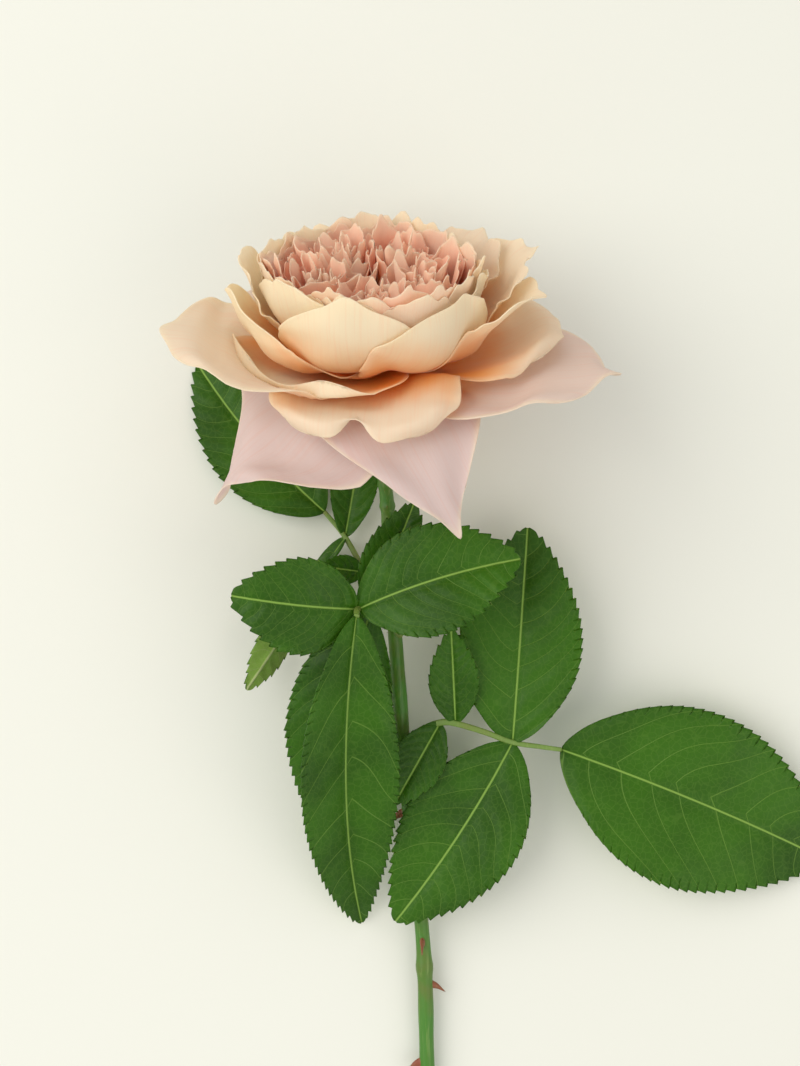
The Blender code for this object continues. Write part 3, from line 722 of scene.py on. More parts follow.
def sheet(name, points, flat, thickness, looks, numbers):
    """A closed thin skin on a grid of places in metres, with a flat UV map and numbers as attributes."""
    grid = grid_of(points)
    uv = grid.loops.layers.uv.new("flat")
    flat = flat.reshape(-1, 2)
    for face in grid.faces:
        for loop in face.loops:
            loop[uv].uv = flat[loop.vert.index]
    skin = finished(name, grid, looks)
    for key, values in numbers.items():
        attribute = skin.data.attributes.new(key, "FLOAT", "POINT")
        values = np.broadcast_to(values, points.shape[:2]).astype(np.float32)
        attribute.data.foreach_set("value", values.ravel())
    solidify = skin.modifiers.new("thickness", "SOLIDIFY")
    solidify.thickness = thickness
    solidify.offset = 0.0
    solidify.material_offset = 1
    return skin


def wrapped(name, points, looks, collection=None):
    """A closed tube on rings of places in metres. Rings with no radius close its ends."""
    grid = grid_of(points)
    bmesh.ops.remove_doubles(grid, verts=grid.verts, dist=1e-7)
    bmesh.ops.recalc_face_normals(grid, faces=grid.faces)
    return finished(name, grid, looks, collection)


def rings(route, radii, sides):
    """Rings of places round a route. Radii are one for each ring, or one for each place on each ring, and the
    last place of a ring repeats the first."""
    ahead = unit(np.gradient(route, axis=0))
    side = unit(np.cross(ahead, (0.0, 0.0, 1.0)))
    up = np.cross(side, ahead)
    angle = np.linspace(0, 2 * math.pi, sides + 1)
    spokes = side[:, None] * np.cos(angle)[None, :, None] + up[:, None] * np.sin(angle)[None, :, None]
    return route[:, None] + spokes * radii.reshape(len(route), -1, 1)


def stand_for(piece, slot, *nodes):
    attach(piece, "root")
    if nodes:
        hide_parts(*nodes)


# ---------------------------------------------------------------- materials

EASED = {"interpolation_type": "SMOOTHSTEP"}
COLOURED = {"data_type": "RGBA"}


def add(tree, kind, inputs=None, output=0, **settings):
    """Adds a node with its settings, sets or links its inputs, and gives back one of its outputs."""
    node = tree.nodes.new("ShaderNode" + kind)
    for key, value in settings.items():
        setattr(node, key, value)
    for key, value in (inputs or {}).items():
        if isinstance(value, bpy.types.NodeSocket):
            tree.links.new(value, node.inputs[key])
        else:
            node.inputs[key].default_value = value
    return node.outputs[output] if node.outputs else node


def blank(name):
    """A material with an empty node tree."""
    look = bpy.data.materials.get(name) or bpy.data.materials.new(name)
    look.use_nodes = True
    look.node_tree.nodes.clear()
    return look, look.node_tree


def petal_look(name, settings, inner_side):
    """Rose petal: soft living tissue, matte with a faint velvet sheen, apricot at its foot, translucent."""
    look, tree = blank(name)
    flat = add(tree, "UVMap", uv_map="flat")
    share = add(tree, "SeparateXYZ", {"Vector": flat}, "Y")
    place = add(tree, "TexCoord", output="Object")
    blush, glow, heart, rim = (add(tree, "Attribute", output="Fac", attribute_name=key)
                               for key in ("blush", "glow", "heart", "rim"))

    # Clouds about 11 mm across shift the colours up and down the petal.
    cloud = add(tree, "TexNoise", {"Vector": place, "Scale": 90.0, "Detail": 3.0})
    cloud = add(tree, "Math", {0: cloud, 1: 0.5}, operation="SUBTRACT")
    cloud = add(tree, "Math", {0: cloud, 1: 0.25}, operation="MULTIPLY")
    lifted = add(tree, "Math", {0: share, 1: cloud}, operation="ADD")

    to_buff = add(tree, "MapRange", {"Value": blush, "From Min": 0.0, "From Max": 0.6}, **EASED)
    upper = add(tree, "Mix", {0: to_buff, 6: settings.cream, 7: settings.buff}, 2, **COLOURED)
    to_lilac = add(tree, "MapRange", {"Value": blush, "From Min": 0.45, "From Max": 1.0}, **EASED)
    upper = add(tree, "Mix", {0: to_lilac, 6: upper, 7: settings.lilac}, 2, **COLOURED)
    to_peach = add(tree, "MapRange", {"Value": heart, "From Min": 0.0, "From Max": 0.7}, **EASED)
    upper = add(tree, "Mix", {0: to_peach, 6: upper, 7: settings.peach}, 2, **COLOURED)
    depth = add(tree, "MapRange", {"Value": lifted, "From Min": 1.08, "From Max": 0.62}, **EASED)
    to_coral = add(tree, "Math", {0: heart, 1: depth}, operation="MULTIPLY")
    upper = add(tree, "Mix", {0: to_coral, 6: upper, 7: settings.coral}, 2, **COLOURED)

    glow = add(tree, "Math", {0: glow, 1: 0.001}, operation="ADD")
    foot = add(tree, "Math", {0: lifted, 1: glow}, operation="DIVIDE")
    foot = add(tree, "MapRange", {"Value": foot, "From Min": 0.78, "From Max": 0.22}, **EASED)
    if not inner_side:
        foot = add(tree, "Math", {0: foot, 1: 0.8}, operation="MULTIPLY")
    colour = add(tree, "Mix", {0: foot, 6: upper, 7: settings.base}, 2, **COLOURED)
    rim = add(tree, "Math", {0: rim, 1: 0.5}, operation="MULTIPLY")
    colour = add(tree, "Mix", {0: rim, 6: colour, 7: linear("#FFF6E0")}, 2, **COLOURED)

    # Veins fan out from the foot, about 0.8 mm apart on a 45 mm petal.
    fan = add(tree, "Mapping", {"Vector": flat, "Scale": (70.0, 2.5, 1.0)})
    veins = add(tree, "TexNoise", {"Vector": fan, "Scale": 1.0, "Detail": 2.0})
    darker = add(tree, "MapRange", {"Value": veins, "From Min": 0.45, "From Max": 0.7}, **EASED)
    darker = add(tree, "Math", {0: darker, 1: 0.09}, operation="MULTIPLY")
    colour = add(tree, "Mix", {0: darker, 6: colour, 7: settings.coral}, 2, blend_type="MULTIPLY", **COLOURED)
    bump = add(tree, "Bump", {"Height": veins, "Distance": 0.00008, "Strength": 0.35})

    skin = add(tree, "BsdfPrincipled", {
        "Base Color": colour, "Roughness": 0.55, "IOR": 1.42, "Normal": bump, "Sheen Weight": 0.15,
        "Sheen Roughness": 0.4})
    through = add(tree, "BsdfTranslucent", {"Color": colour, "Normal": bump})
    mixed = add(tree, "MixShader", {0: 0.48, 1: skin, 2: through})
    add(tree, "OutputMaterial", {"Surface": mixed})
    return look


def leaf_look(name, settings, upper_side):
    """Rose leaf: waxed green tissue, satin above, matte and paler below, with a net of pale veins."""
    look, tree = blank(name)
    flat = add(tree, "UVMap", uv_map="flat")
    place = add(tree, "TexCoord", output="Object")

    lateral = add(tree, "Attribute", output="Fac", attribute_name="lateral")
    side_vein = add(tree, "Math", {0: lateral}, operation="FRACT")
    side_vein = add(tree, "Math", {0: side_vein, 1: 0.5}, operation="SUBTRACT")
    side_vein = add(tree, "Math", {0: side_vein}, operation="ABSOLUTE")
    side_vein = add(tree, "Math", {0: 0.5, 1: side_vein}, operation="SUBTRACT")
    side_vein = add(tree, "MapRange", {"Value": side_vein, "From Min": 0.004, "From Max": 0.03}, **EASED)
    side_vein = add(tree, "Math", {0: 1.0, 1: side_vein}, operation="SUBTRACT")
    side_vein = add(tree, "Math", {0: side_vein, 1: 0.36}, operation="MULTIPLY")

    # The midrib is just under 1 mm wide.
    midrib = add(tree, "SeparateXYZ", {"Vector": flat}, "X")
    midrib = add(tree, "Math", {0: midrib}, operation="ABSOLUTE")
    midrib = add(tree, "MapRange", {"Value": midrib, "From Min": 0.00012, "From Max": 0.00045}, **EASED)
    midrib = add(tree, "Math", {0: 1.0, 1: midrib}, operation="SUBTRACT")

    # The finest net has meshes of about 1.6 mm.
    net = {"Vector": flat, "Scale": 620.0, "Randomness": 1.0}
    net = add(tree, "TexVoronoi", net, "Distance", feature="DISTANCE_TO_EDGE")
    net = add(tree, "MapRange", {"Value": net, "From Min": 0.0, "From Max": 0.10}, **EASED)
    net = add(tree, "Math", {0: 1.0, 1: net}, operation="SUBTRACT")
    net = add(tree, "Math", {0: net, 1: 0.09}, operation="MULTIPLY")

    lines = add(tree, "Math", {0: midrib, 1: side_vein}, operation="MAXIMUM")
    lines = add(tree, "Math", {0: lines, 1: net}, operation="MAXIMUM")
    patches = add(tree, "TexNoise", {"Vector": place, "Scale": 45.0, "Detail": 3.0})
    patches = add(tree, "MapRange", {"Value": patches, "From Min": 0.3, "From Max": 0.7}, **EASED)
    first, second = (settings.dark, settings.green) if upper_side else (settings.olive, settings.vein)
    ground = add(tree, "Mix", {0: patches, 6: first, 7: second}, 2, **COLOURED)
    pale = settings.vein if upper_side else linear("#B9C98A")
    colour = add(tree, "Mix", {0: lines, 6: ground, 7: pale}, 2, **COLOURED)

    # Veins are sunk above and stand out below, over a fine grain of 0.4 mm.
    relief = add(tree, "Math", {0: lines, 1: -1.0 if upper_side else 1.0}, operation="MULTIPLY")
    grain = add(tree, "TexNoise", {"Vector": place, "Scale": 2500.0, "Detail": 2.0})
    grain = add(tree, "Math", {0: grain, 1: 0.25}, operation="MULTIPLY")
    relief = add(tree, "Math", {0: relief, 1: grain}, operation="ADD")
    bump = add(tree, "Bump", {"Height": relief, "Distance": 0.00025, "Strength": 0.7})
    rough = 0.68
    if upper_side:
        wax = add(tree, "TexNoise", {"Vector": place, "Scale": 150.0, "Detail": 3.0})
        ends = {"Value": wax, "From Min": 0.3, "From Max": 0.7, "To Min": 0.38, "To Max": 0.5}
        rough = add(tree, "MapRange", ends, **EASED)

    skin = add(tree, "BsdfPrincipled", {
        "Base Color": colour, "Roughness": rough, "IOR": 1.43, "Specular IOR Level": 0.3, "Normal": bump})
    light = add(tree, "Mix", {0: 0.5, 6: colour, 7: settings.vein}, 2, **COLOURED)
    through = add(tree, "BsdfTranslucent", {"Color": light})
    mixed = add(tree, "MixShader", {0: 0.14, 1: skin, 2: through})
    add(tree, "OutputMaterial", {"Surface": mixed})
    return look


def bark_look(name, green, brown, brown_share):
    """Young rose wood: smooth waxed skin, green with a red brown flush and fine streaks along it."""
    look, tree = blank(name)
    place = add(tree, "TexCoord", output="Object")
    # Streaks are about 0.6 mm apart and 11 mm long, and the flush comes in patches of about 9 mm.
    drawn = add(tree, "Mapping", {"Vector": place, "Scale": (1800.0, 90.0, 1800.0)})
    streaks = add(tree, "TexNoise", {"Vector": drawn, "Scale": 1.0, "Detail": 3.0})
    patches = add(tree, "TexNoise", {"Vector": place, "Scale": 110.0, "Detail": 3.0})
    flush = add(tree, "MapRange", {"Value": patches, "From Min": 0.4, "From Max": 0.7}, **EASED)
    flush = add(tree, "Math", {0: flush, 1: brown_share}, operation="MULTIPLY")
    colour = add(tree, "Mix", {0: flush, 6: green, 7: brown}, 2, **COLOURED)
    pale = add(tree, "MapRange", {"Value": streaks, "From Min": 0.5, "From Max": 0.75}, **EASED)
    pale = add(tree, "Math", {0: pale, 1: 0.35}, operation="MULTIPLY")
    colour = add(tree, "Mix", {0: pale, 6: colour, 7: linear("#8FA45E")}, 2, **COLOURED)
    bump = add(tree, "Bump", {"Height": streaks, "Distance": 0.0001, "Strength": 0.6})
    skin = add(tree, "BsdfPrincipled", {"Base Color": colour, "Roughness": 0.42, "IOR": 1.45, "Normal": bump})
    add(tree, "OutputMaterial", {"Surface": skin})
    return look


def pith_look():
    """The cut end: pale moist pith, matte, with a fine grain."""
    look, tree = blank("rose_pith")
    place = add(tree, "TexCoord", output="Object")
    grain = add(tree, "TexNoise", {"Vector": place, "Scale": 2500.0, "Detail": 3.0})
    colour = add(tree, "Mix", {0: grain, 6: linear("#D9DDB0"), 7: linear("#B4BE7C")}, 2, **COLOURED)
    skin = add(tree, "BsdfPrincipled", {"Base Color": colour, "Roughness": 0.6})
    add(tree, "OutputMaterial", {"Surface": skin})
    return look


def table_look(settings):
    """Painted table top: matte warm white with a barely visible tooth."""
    look, tree = blank("painted_table")
    place = add(tree, "TexCoord", output="Object")
    tooth = add(tree, "TexNoise", {"Vector": place, "Scale": 700.0, "Detail": 3.0})
    shade = add(tree, "TexNoise", {"Vector": place, "Scale": 3.0, "Detail": 3.0})
    shade = add(tree, "Math", {0: shade, 1: 0.12}, operation="MULTIPLY")
    colour = add(tree, "Mix", {0: shade, 6: settings.floor, 7: linear("#E2E0D4")}, 2, **COLOURED)
    bump = add(tree, "Bump", {"Height": tooth, "Distance": 0.00005, "Strength": 0.2})
    paint = add(tree, "BsdfPrincipled", {"Base Color": colour, "Roughness": 0.8, "Normal": bump})
    add(tree, "OutputMaterial", {"Surface": paint})
    return look


# ---------------------------------------------------------------- pieces


def petal_numbers(across, along, blush, glow, heart=0.0):
    """What a petal's material reads: its colouring, and how close each corner is to its edge."""
    rim = np.maximum(np.abs(across), np.maximum(along, 0))
    return {"blush": blush, "glow": glow, "heart": heart, "rim": smooth_step(0.9, 1.0, rim)}


class ROSE_OT_petals(bpy.types.Operator):
    """Make the cup, the half-open and the spread petals, and the sepals"""
    bl_idname = "rose.petals"
    bl_label = "Petals and sepals"

    def execute(self, context):
        settings = context.scene.rose_bloom
        looks = [petal_look("petal_outside", settings, False), petal_look("petal_inside", settings, True)]
        leaf = context.scene.rose_leaf
        sepal_looks = [leaf_look("sepal_outside", leaf, False), leaf_look("sepal_inside", leaf, False)]
        shifts = petal_shifts()
        corners, corner_faces = [], []
        for count, plan in enumerate(all_plans()):
            if plan.kind == "guide":
                continue
            is_sepal = plan.kind == "sepal"
            rng = np.random.default_rng(PETAL_SEED + count)
            size = SEPAL_CELLS if is_sepal else settings.cells
            across, along, faces = cells(size, size, PETAL_CROWDING)
            margin = MARGINS.get(plan.name, CUP_MARGIN if plan.kind == "cup" else SEPAL_MARGIN)
            own = fleshed(plan, margin)
            side, share = outline(own, across, along)
            if not is_sepal:
                side, share = lopsided(side, share, along, own, margin)
            share = share + torn_edge(across, along, margin.torn, rng) / plan.length
            parted = np.exp(-((across - CLEFT_PLACE) / CLEFT_WIDTH)**2) * np.maximum(along, 0)**4
            share = share - margin.cleft / plan.length * parted
            points = petal_shape(own, side, share) + finer(shifts[plan.name], across, along)
            if not is_sepal:
                points = gathered_foot(points, share, FOOT_RISE if plan in OUTER_PETALS else 0.0)
            axes = petal_axes(own, side, share)
            points = finish_margin(points, across, along, axes, own.width / 2, margin, rng)
            if corners and not is_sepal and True:
                points = clear_of(points, axes[2], BVHTree.FromPolygons(corners, corner_faces), PETAL_GAP)
            corner_faces += (faces + len(corners)).tolist()
            corners += points.reshape(-1, 3).tolist()
            flat = np.stack([side / 2 + 0.5, share], -1)
            numbers = petal_numbers(across, along, margin.blush, margin.glow)
            if is_sepal:
                flat = np.stack([side * plan.width / 2 * MM, share * plan.length * MM], -1)
                numbers = {"lateral": 0.5 + 0 * side, "share": share}
            piece = sheet(plan.name + "_skin", flower_to_row(points), flat, settings.thickness,
                          sepal_looks if is_sepal else looks, numbers)
            slot = {"cup": "petal_cup", "sepal": "sepal"}.get(plan.kind, "petal_outer")
            stand_for(piece, slot, plan.name)
        return {"FINISHED"}


def cup_room():
    """How far the cup's inner wall is from the flower's axis, by azimuth and height."""
    corners, faces = [], []
    for number in range(1, len(CUP_PETALS) + 1):
        skin = bpy.data.objects.get(f"petal_cup_{number}_skin")
        if skin is None:
            raise RuntimeError("make the petals before the heart")
        places = np.array([vertex.co for vertex in skin.data.vertices])
        faces += [[len(corners) + k for k in face.vertices] for face in skin.data.polygons]
        corners += row_to_flower(places).tolist()
    wall = BVHTree.FromPolygons(corners, faces)
    heights = np.arange(4.0, 31.0, 1.0)
    azimuths = np.radians(np.arange(0, 360, 5))
    room = np.zeros((len(heights), len(azimuths)))
    for i, height in enumerate(heights):
        for j, azimuth in enumerate(azimuths):
            direction = Vector((math.cos(azimuth), math.sin(azimuth), 0))
            distance = wall.ray_cast(Vector((0, 0, height)), direction, 60)[3]
            room[i, j] = distance if distance is not None else (room[i - 1, j] + 0.15 if i else 8.0)
    low = np.minimum(np.minimum(room, np.roll(room, 1, 1)), np.roll(room, -1, 1))
    for _ in range(2):
        low = (low * 2 + np.roll(low, 1, 1) + np.roll(low, -1, 1)) / 4
    low = low - 0.8

    def read(azimuth, height):
        column = np.mod(azimuth / math.radians(5), len(azimuths))
        row = np.clip(height - heights[0], 0, len(heights) - 1.001)
        j, i = column.astype(int), row.astype(int)
        u, v = column - j, row - i
        after = (j + 1) % len(azimuths)
        return ((low[i, j] * (1 - u) + low[i, after] * u) * (1 - v)
                + (low[i + 1, j] * (1 - u) + low[i + 1, after] * u) * v)
    return read


def tuft_room(azimuth, height, quarter, room):
    """How far a tuft's own wedge reaches from the tuft's middle in the direction given, and how far that
    middle is from the flower's axis."""
    half = math.radians(QUARTER_HALF_ANGLE)
    rim = HEART_SHARE * room(np.full_like(height, math.radians(quarter)), height)
    middle = TUFT_MIDDLE * rim
    walls = []
    for turn in (azimuth, -azimuth):
        slant = np.sin(turn - half)
        walls.append(np.where(slant > 1e-3, middle * math.sin(half) / np.maximum(slant, 1e-3), 99.0))
    arc = -middle * np.cos(azimuth) + np.sqrt(np.maximum(rim**2 - (middle * np.sin(azimuth))**2, 1.0))
    power = 5.0
    reach = (walls[0]**-power + walls[1]**-power + arc**-power)**(-1 / power)
    return reach - 0.3, middle


def wall_petal(across, along, ring, middle, level, room, rng):
    """A petal of the rings that line the cup."""
    plan = Petal("", 0, 30, 20, (), (), claw=0.3, point=rng.uniform(0.8, 3.0),
                 notch=rng.uniform(0, 2.0) * (rng.random() < 0.3), taper=rng.uniform(0.0, 0.3))
    side, share = outline(plan, across, along)
    share = share + torn_edge(across, along, 1.8, rng) / plan.length
    middle = math.radians(middle + rng.uniform(-6, 6))
    azimuth = middle + side * math.radians(WALL_HALF_ANGLE)
    tip = WALL_TIP - 0.5 * ring + rng.uniform(-1.4, 1.0) + 0.3 * math.sin(middle)
    height = HEART_FLOOR + share * (tip - HEART_FLOOR)
    wide = smooth_step(0.0, 0.4, share)
    radius = (level + 0.014 * side) * room(azimuth, height)
    radius = radius * wide + WALL_FOOT_RADIUS * (1 - wide) + 0.5 * np.maximum(share - 0.7, 0) * 3.3
    radius += 0.5 * np.sin(5 * side + rng.uniform(0, 6)) * smooth_step(0.5, 1.0, share)
    return np.stack([radius * np.cos(azimuth), radius * np.sin(azimuth), height], -1), side, share


def tuft_petal(across, along, quarter, start, level, facing, room, rng):
    """A petal of a tuft. Level is how far out in the tuft it stands, from 0 to 1."""
    half_angle = math.radians(82 - 46 * level + rng.uniform(-10, 10))
    plan = Petal("", 0, 22, 14, (), (), claw=0.3, point=rng.uniform(0.8, 3.6),
                 notch=rng.uniform(1.0, 3.0) * (rng.random() < 0.3), taper=rng.uniform(0, 0.45))
    side, share = outline(plan, across, along)
    share = share + torn_edge(across, along, 1.6, rng) / plan.length
    turn = facing + side * half_angle
    turn = np.mod(turn + math.pi, 2 * math.pi) - math.pi
    reach, middle = tuft_room(turn, HEART_FLOOR + share * 18, quarter, room)
    top_reach, top_middle = tuft_room(np.array([math.remainder(facing, 2 * math.pi)]), np.array([22.0]),
                                      quarter, room)
    direction = math.radians(quarter)
    x = top_middle[0] + level * top_reach[0] * math.cos(facing)
    y = level * top_reach[0] * math.sin(facing)
    back = (x * math.sin(direction) + y * math.cos(direction)) / 24
    tip = QUARTER_TIP + 3.0 * (math.hypot(x, y) / 22)**2 + 2.4 * back + rng.uniform(-1.8, 1.8)
    height = HEART_FLOOR + share * (tip - HEART_FLOOR)
    wide = smooth_step(0.0, 0.45, share)
    own = (level + 0.04 * side) * reach * wide + 0.5 * (1 - wide)
    own += 0.8 * np.maximum(share - 0.65, 0) * 3
    own += RUFFLE * np.sin(RUFFLES * turn + start + 4 * level) * smooth_step(0.35, 1.0, share)
    centre = middle * wide + TUFT_FOOT_RADIUS * (1 - wide)
    x = centre * math.cos(direction) + own * np.cos(turn + direction)
    y = centre * math.sin(direction) + own * np.sin(turn + direction)
    return np.stack([x, y, height], -1), side, share


def heart_petals(across, along, room, rng):
    """Places, flat map and colouring of each packed petal, from the cup's wall inward."""
    for ring, (count, first, level) in enumerate(WALL_RINGS):
        for k in range(count):
            shape = wall_petal(across, along, ring, first + k * 360 / count, level, room, rng)
            yield *shape, {"heart": 0.12 + 0.22 * ring, "blush": rng.uniform(0.1, 0.35), "glow": 0.9}
    for quarter in QUARTERS:
        start = rng.uniform(0, 2 * math.pi)
        for k in range(QUARTER_PETALS):
            level = 0.10 + 0.85 * k / (QUARTER_PETALS - 1)
            shape = tuft_petal(across, along, quarter, start, level, start + GOLDEN_ANGLE * k, room, rng)
            yield *shape, {"heart": rng.uniform(0.3, 0.85), "blush": 0.5, "glow": 0.75}


class ROSE_OT_heart(bpy.types.Operator):
    """Make the packed, quartered petals inside the cup"""
    bl_idname = "rose.heart"
    bl_label = "Heart of the bloom"

    def execute(self, context):
        settings = context.scene.rose_bloom
        looks = [petal_look("heart_petal_outside", settings, False),
                 petal_look("heart_petal_inside", settings, True)]
        across, along, _ = cells(settings.inner_cells, settings.inner_cells, HEART_CROWDING)
        nodes = [f"petal_inner_{k}" for k in (*range(9, 14), *range(4, 9), *range(1, 4))]
        petals = heart_petals(across, along, cup_room(), np.random.default_rng(HEART_SEED))
        for made, (points, side, share, colouring) in enumerate(petals):
            name = f"{nodes[made]}_skin" if made < len(nodes) else f"petal_heart_{made - len(nodes) + 1}"
            flat = np.stack([side / 2 + 0.5, share], -1)
            piece = sheet(name, flower_to_row(points), flat, settings.inner_thickness, looks,
                          petal_numbers(across, along, **colouring))
            stand_for(piece, "petal_inner", *nodes[made:made + 1])
        return {"FINISHED"}


def prickle_route(route, station, angle, length):
    """A prickle grows out of the stem and hooks back towards the cut end."""
    place = station * (len(route) - 1)
    k = min(int(place), len(route) - 2)
    centre = route[k] + (route[k + 1] - route[k]) * (place - k)
    down = unit(route[k + 1] - route[k])
    right = -unit(np.cross(down, (0, 0, 1)))
    up = np.cross(down, right)
    out = right * math.cos(math.radians(angle)) + up * math.sin(math.radians(angle))
    stem_radius = STEM_TOP_RADIUS + (STEM_END_RADIUS - STEM_TOP_RADIUS) * station
    share = np.linspace(0, 1, 9)
    reach = stem_radius * 0.5 + (stem_radius * 0.5 + length) * share
    droop = length * 0.78 * smooth_step(0.1, 1.3, share)**1.2
    return centre + out * reach[:, None] + down * droop[:, None], down


def prickle(name, route, station, angle, length, thick, look, collection):
    points, down = prickle_route(route, station, angle, length)
    share = np.linspace(0, 1, len(points))
    radii = thick * np.append((1 - share[:-1])**1.1 * 0.9 + 0.1, 0.0)
    places = drawn_out_rings(np.vstack([points[:1], points]), np.append(0.0, radii), 10, down)
    return wrapped(name, offset_to_row(places), [look], collection)


def drawn_out_rings(points, radii, sides, wide):
    """Rings round a short route, longer at its foot in the direction given, as a prickle's base is."""
    ahead = unit(np.gradient(points, axis=0) + 1e-9)
    ahead[0] = ahead[1]
    wide = unit(wide - ahead * (ahead @ wide)[:, None])
    other = np.cross(ahead, wide)
    angle = np.linspace(0, 2 * math.pi, sides + 1)
    stretch = np.linspace(1.6, 1.0, len(points))
    return (points[:, None] + wide[:, None] * (np.cos(angle)[None] * (radii * stretch)[:, None])[..., None]
            + other[:, None] * (np.sin(angle)[None] * (radii * 0.8)[:, None])[..., None])


def union(piece, parts):
    """Joins the parts' solids to the piece and clears them away."""
    join = piece.modifiers.new("grown_together", "BOOLEAN")
    join.operation = "UNION"
    join.solver = "EXACT"
    join.operand_type = "COLLECTION"
    join.collection = parts
    join.material_mode = "TRANSFER"
    mesh = bpy.data.meshes.new_from_object(piece.evaluated_get(bpy.context.evaluated_depsgraph_get()))
    piece.modifiers.clear()
    piece.data = mesh
    for part in list(parts.objects):
        bpy.data.objects.remove(part)
    bpy.data.collections.remove(parts)


class ROSE_OT_stem(bpy.types.Operator):
    """Make the stem with its hip, prickles and bristles, which grew as one piece"""
    bl_idname = "rose.stem"
    bl_label = "Stem"

    def execute(self, context):
        settings = context.scene.rose_stem
        green = bark_look("rose_wood", settings.green, settings.brown, 0.35)
        red = bark_look("rose_prickle", settings.prickle, settings.brown, 0.5)
        pith = pith_look()
        middle = smooth_route(STEM_ROUTE, STEM_ROWS)
        share = np.linspace(0, 1, STEM_ROWS)
        radii = STEM_TOP_RADIUS + (STEM_END_RADIUS - STEM_TOP_RADIUS) * share
        for knot in KNOTS:
            radii = radii + 0.35 * np.exp(-((share - knot) / 0.006)**2)
        radii = radii + 0.05 * np.sin(share * 61) + 0.04 * np.sin(share * 143)
        end = middle[-1]
        route = np.vstack([middle[:1], middle, end, end, end + unit(middle[-1] - middle[-2]) * 0.05])
        radii = np.concatenate([[0.0], radii, [radii[-1] * 0.93, radii[-1] * 0.45, 0.0]])
        stem = wrapped("stem_skin", offset_to_row(rings(route, radii, settings.sides)), [green, red, pith])
        cut = offset_to_row(end)[1] + 0.01 * MM
        for face in stem.data.polygons:
            if face.center.y < cut:
                face.material_index = stem.data.materials.find(pith.name)
                face.use_smooth = False

        parts = bpy.data.collections.new("stem_parts")
        context.scene.collection.children.link(parts)
        profile = smooth_route([(radius, 0, height) for radius, height in HIP_PROFILE], 40)
        profile[:, 0] = np.maximum(profile[:, 0], 0)
        profile[0, 0] = profile[-1, 0] = 0
        angle = np.linspace(0, 2 * math.pi, 33)
        hip = np.stack([profile[:, :1] * np.cos(angle), profile[:, :1] * np.sin(angle),
                        np.repeat(profile[:, 2:], len(angle), 1)], -1)
        wrapped("hip", flower_to_row(hip), [green], parts)
        for number, (station, angle, length) in enumerate(PRICKLES, 1):
            thick = PRICKLE_BASE_RADIUS * (0.55 + length / 9)
            prickle(f"prickle_{number}", middle, station, angle, length, thick, red, parts)
        rng = np.random.default_rng(BRISTLE_SEED)
        for number in range(settings.bristles):
            station = 0.03 + 0.55 * rng.random()**1.2
            prickle(f"bristle_{number}", middle, station, rng.uniform(0, 360), rng.uniform(0.5, 1.3),
                    BRISTLE_RADIUS, red, parts)
        context.view_layer.update()
        union(stem, parts)
        stand_for(stem, "stem", "stem")
        return {"FINISHED"}


class ROSE_OT_petioles(bpy.types.Operator):
    """Make the three leaf stalks"""
    bl_idname = "rose.petioles"
    bl_label = "Leaf stalks"

    def execute(self, context):
        settings = context.scene.rose_stem
        look = bark_look("rose_leaf_stalk", linear("#6B8A3C"), settings.brown, 0.4)
        for name, (radius, points) in PETIOLES.items():
            route = smooth_route(points, STALK_ROWS)
            share = np.linspace(0, 1, STALK_ROWS)
            radii = radius * (1.15 - 0.5 * share) + 0.5 * np.exp(-(share / 0.08)**2)
            angle = np.linspace(0, 2 * math.pi, STALK_SIDES + 1)
            groove = 1 - 0.28 * np.exp(-((np.mod(angle, 2 * math.pi) - math.pi / 2) / 0.5)**2)
            radii = np.concatenate([[0.0], radii, [0.0]])
            places = rings(np.vstack([route[:1], route, route[-1:]]), radii[:, None] * groove, STALK_SIDES)
            stand_for(wrapped(name + "_skin", offset_to_row(places), [look]), "petiole", name)
        return {"FINISHED"}


def leaf_width(share):
    """A rose leaflet's half width along its midrib, as a share of its widest."""
    return 0.03 + 0.97 * np.sin(math.pi * np.clip(share, 0, 1)**0.87)**0.8


def tooth_count(plan, settings):
    return max(8, round(plan.length * MM / settings.tooth_spacing))


def turned(first, second, angle):
    """Two directions at right angles, turned by an angle from the first towards the second."""
    return (first * math.cos(angle) + second * math.sin(angle),
            second * math.cos(angle) - first * math.sin(angle))


def midrib_path(plan, foot, steps):
    """Rows of nine numbers: a place on a leaflet's midrib, and its directions to the right and up."""
    heading, rise, roll = (math.radians(angle) for angle in (plan.heading, plan.rise, plan.roll))
    level = math.cos(rise)
    forward = np.array([math.cos(heading) * level, math.sin(heading) * level, math.sin(rise)])
    right = unit(np.cross(forward, (0, 0, 1)))
    right, up = turned(right, np.cross(right, forward), roll)
    bend, swing, twist = (math.radians(angle) / steps for angle in (plan.bend, plan.swing, plan.twist))
    place = np.array(foot, float)
    path = [(*place, *right, *up)]
    for _ in range(steps):
        forward, up = turned(forward, up, bend)
        forward, right = turned(forward, right, -swing)
        right, up = turned(right, up, twist)
        place = place + forward * (plan.length + 0.5) / steps
        path.append((*place, *right, *up))
    return np.array(path)


